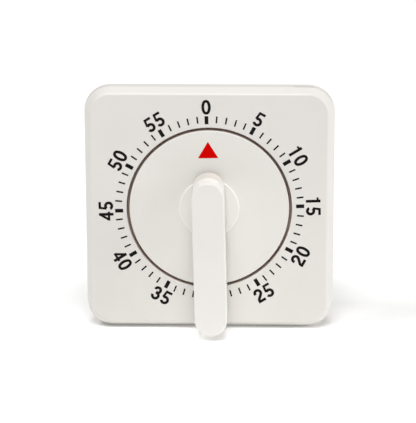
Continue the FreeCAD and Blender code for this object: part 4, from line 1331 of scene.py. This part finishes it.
@dataclass
class Studio:
    """The pale floor, the soft lights and the camera at the photograph's angle."""

    focus: tuple[float, float, float] = (0.0, -0.016, 0.040)  # in metres, as the distance
    distance: float = 0.700
    elevation: float = 15.43
    azimuth: float = 1.7  # to the viewer's right
    lens: float = 186.04
    shift: tuple[float, float] = (-1.2, -1.5)  # in pixels of the photograph
    roll: float = -0.15
    floor_size: float = 6.0
    spread: float = 30.0  # how wide each lamp looks from the timer, in degrees
    glow: float = 0.1  # the floor is a light table, which thins the shadow under the timer
    room: float = 0.1  # the even light of the room
    lamps: tuple[Lamp, ...] = (
        Lamp("top_box", 0.0, 65.0, 1.98),
        Lamp("right_box", 80.0, 20.0, 1.24),
        Lamp("left_box", -80.0, 55.0, 1.0),
    )

    def floor(self) -> None:
        """Lay the floor."""
        bpy.ops.mesh.primitive_plane_add(size=self.floor_size)
        plane = bpy.context.object
        plane.name = "floor"
        material = Graph("pale_floor").surface(
            {
                "Base Color": linear("#FBFBFA"),
                "Roughness": 0.9,
                "Emission Color": linear("#FFFFFF"),
                "Emission Strength": self.glow,
            }
        )
        plane.data.materials.append(material)

    @staticmethod
    def away(azimuth: float, elevation: float) -> Vector:
        """Give the direction from the timer to something.

        Args:
            azimuth: how far it stands to the timer's right, in degrees.
            elevation: how high it stands, in degrees.

        Returns:
            The direction, one metre long.
        """
        rise, swing = math.radians(elevation), math.radians(azimuth)
        level = math.cos(rise)
        return Vector((math.sin(swing) * level, -math.cos(swing) * level, math.sin(rise)))

    def hang(self, lamp: Lamp) -> None:
        """Hang one lamp.

        Args:
            lamp: the lamp.
        """
        away = self.away(lamp.azimuth, lamp.elevation)
        bpy.ops.object.light_add(type="SUN", location=away)
        light = bpy.context.object
        light.name = lamp.name
        light.data.angle = math.radians(self.spread)
        light.data.energy = lamp.strength
        light.rotation_euler = away.to_track_quat("Z", "Y").to_euler()

    def camera(self) -> None:
        """Set the camera at the photograph's angle."""
        away = self.away(self.azimuth, self.elevation) * self.distance
        place = Vector(self.focus) + away
        bpy.ops.object.camera_add(location=place)
        camera = bpy.context.object
        camera.data.sensor_width = SENSOR
        camera.data.lens = self.lens
        longest = max(PHOTO_WIDTH, PHOTO_HEIGHT)
        camera.data.shift_x = self.shift[0] / longest
        camera.data.shift_y = self.shift[1] / longest
        roll = Matrix.Rotation(math.radians(self.roll), 3, "Z")
        aim = (-away).to_track_quat("-Z", "Y").to_matrix() @ roll
        camera.rotation_euler = aim.to_euler()
        bpy.context.scene.camera = camera

    def light(self) -> None:
        """Light the timer softly from above and from both sides."""
        world = bpy.data.worlds.new("studio")
        bpy.context.scene.world = world
        world.use_nodes = True
        background = world.node_tree.nodes["Background"]
        background.inputs["Color"].default_value = linear("#FFFFFF")
        background.inputs["Strength"].default_value = self.room
        for lamp in self.lamps:
            self.hang(lamp)
        bpy.context.scene.view_settings.view_transform = "Standard"

    def build(self) -> None:
        """Set up the whole studio."""
        self.camera()
        self.floor()
        self.light()


def main() -> None:
    """Dress the timer and set the scene."""
    logging.basicConfig(level=logging.INFO, format="%(message)s")
    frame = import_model()
    bpy.ops.object.select_all(action="DESELECT")
    Studio().build()
    finishes = {
        "housing": CASE_ABS.material(),
        "dial": DIAL_ABS.material(),
        "grip": GRIP_ABS.material(),
        "magnet": FERRITE.material(),
        "brass": BRASS.material(),
        "steel": STEEL.material(),
        "spring_steel": SPRING_STEEL.material(),
        "bell": NICKEL.material(),
    }
    Frame(frame["nodes"]).dress(finishes)
    Case().build(COVER_ABS.material(), finishes["housing"])
    Dial().build(finishes["dial"])
    Knob().build(finishes["grip"])
    MinutePrint().build(BLACK_INK.material())
    PointerPrint().build(RED_INK.material())


if __name__ == "__main__":
    main()
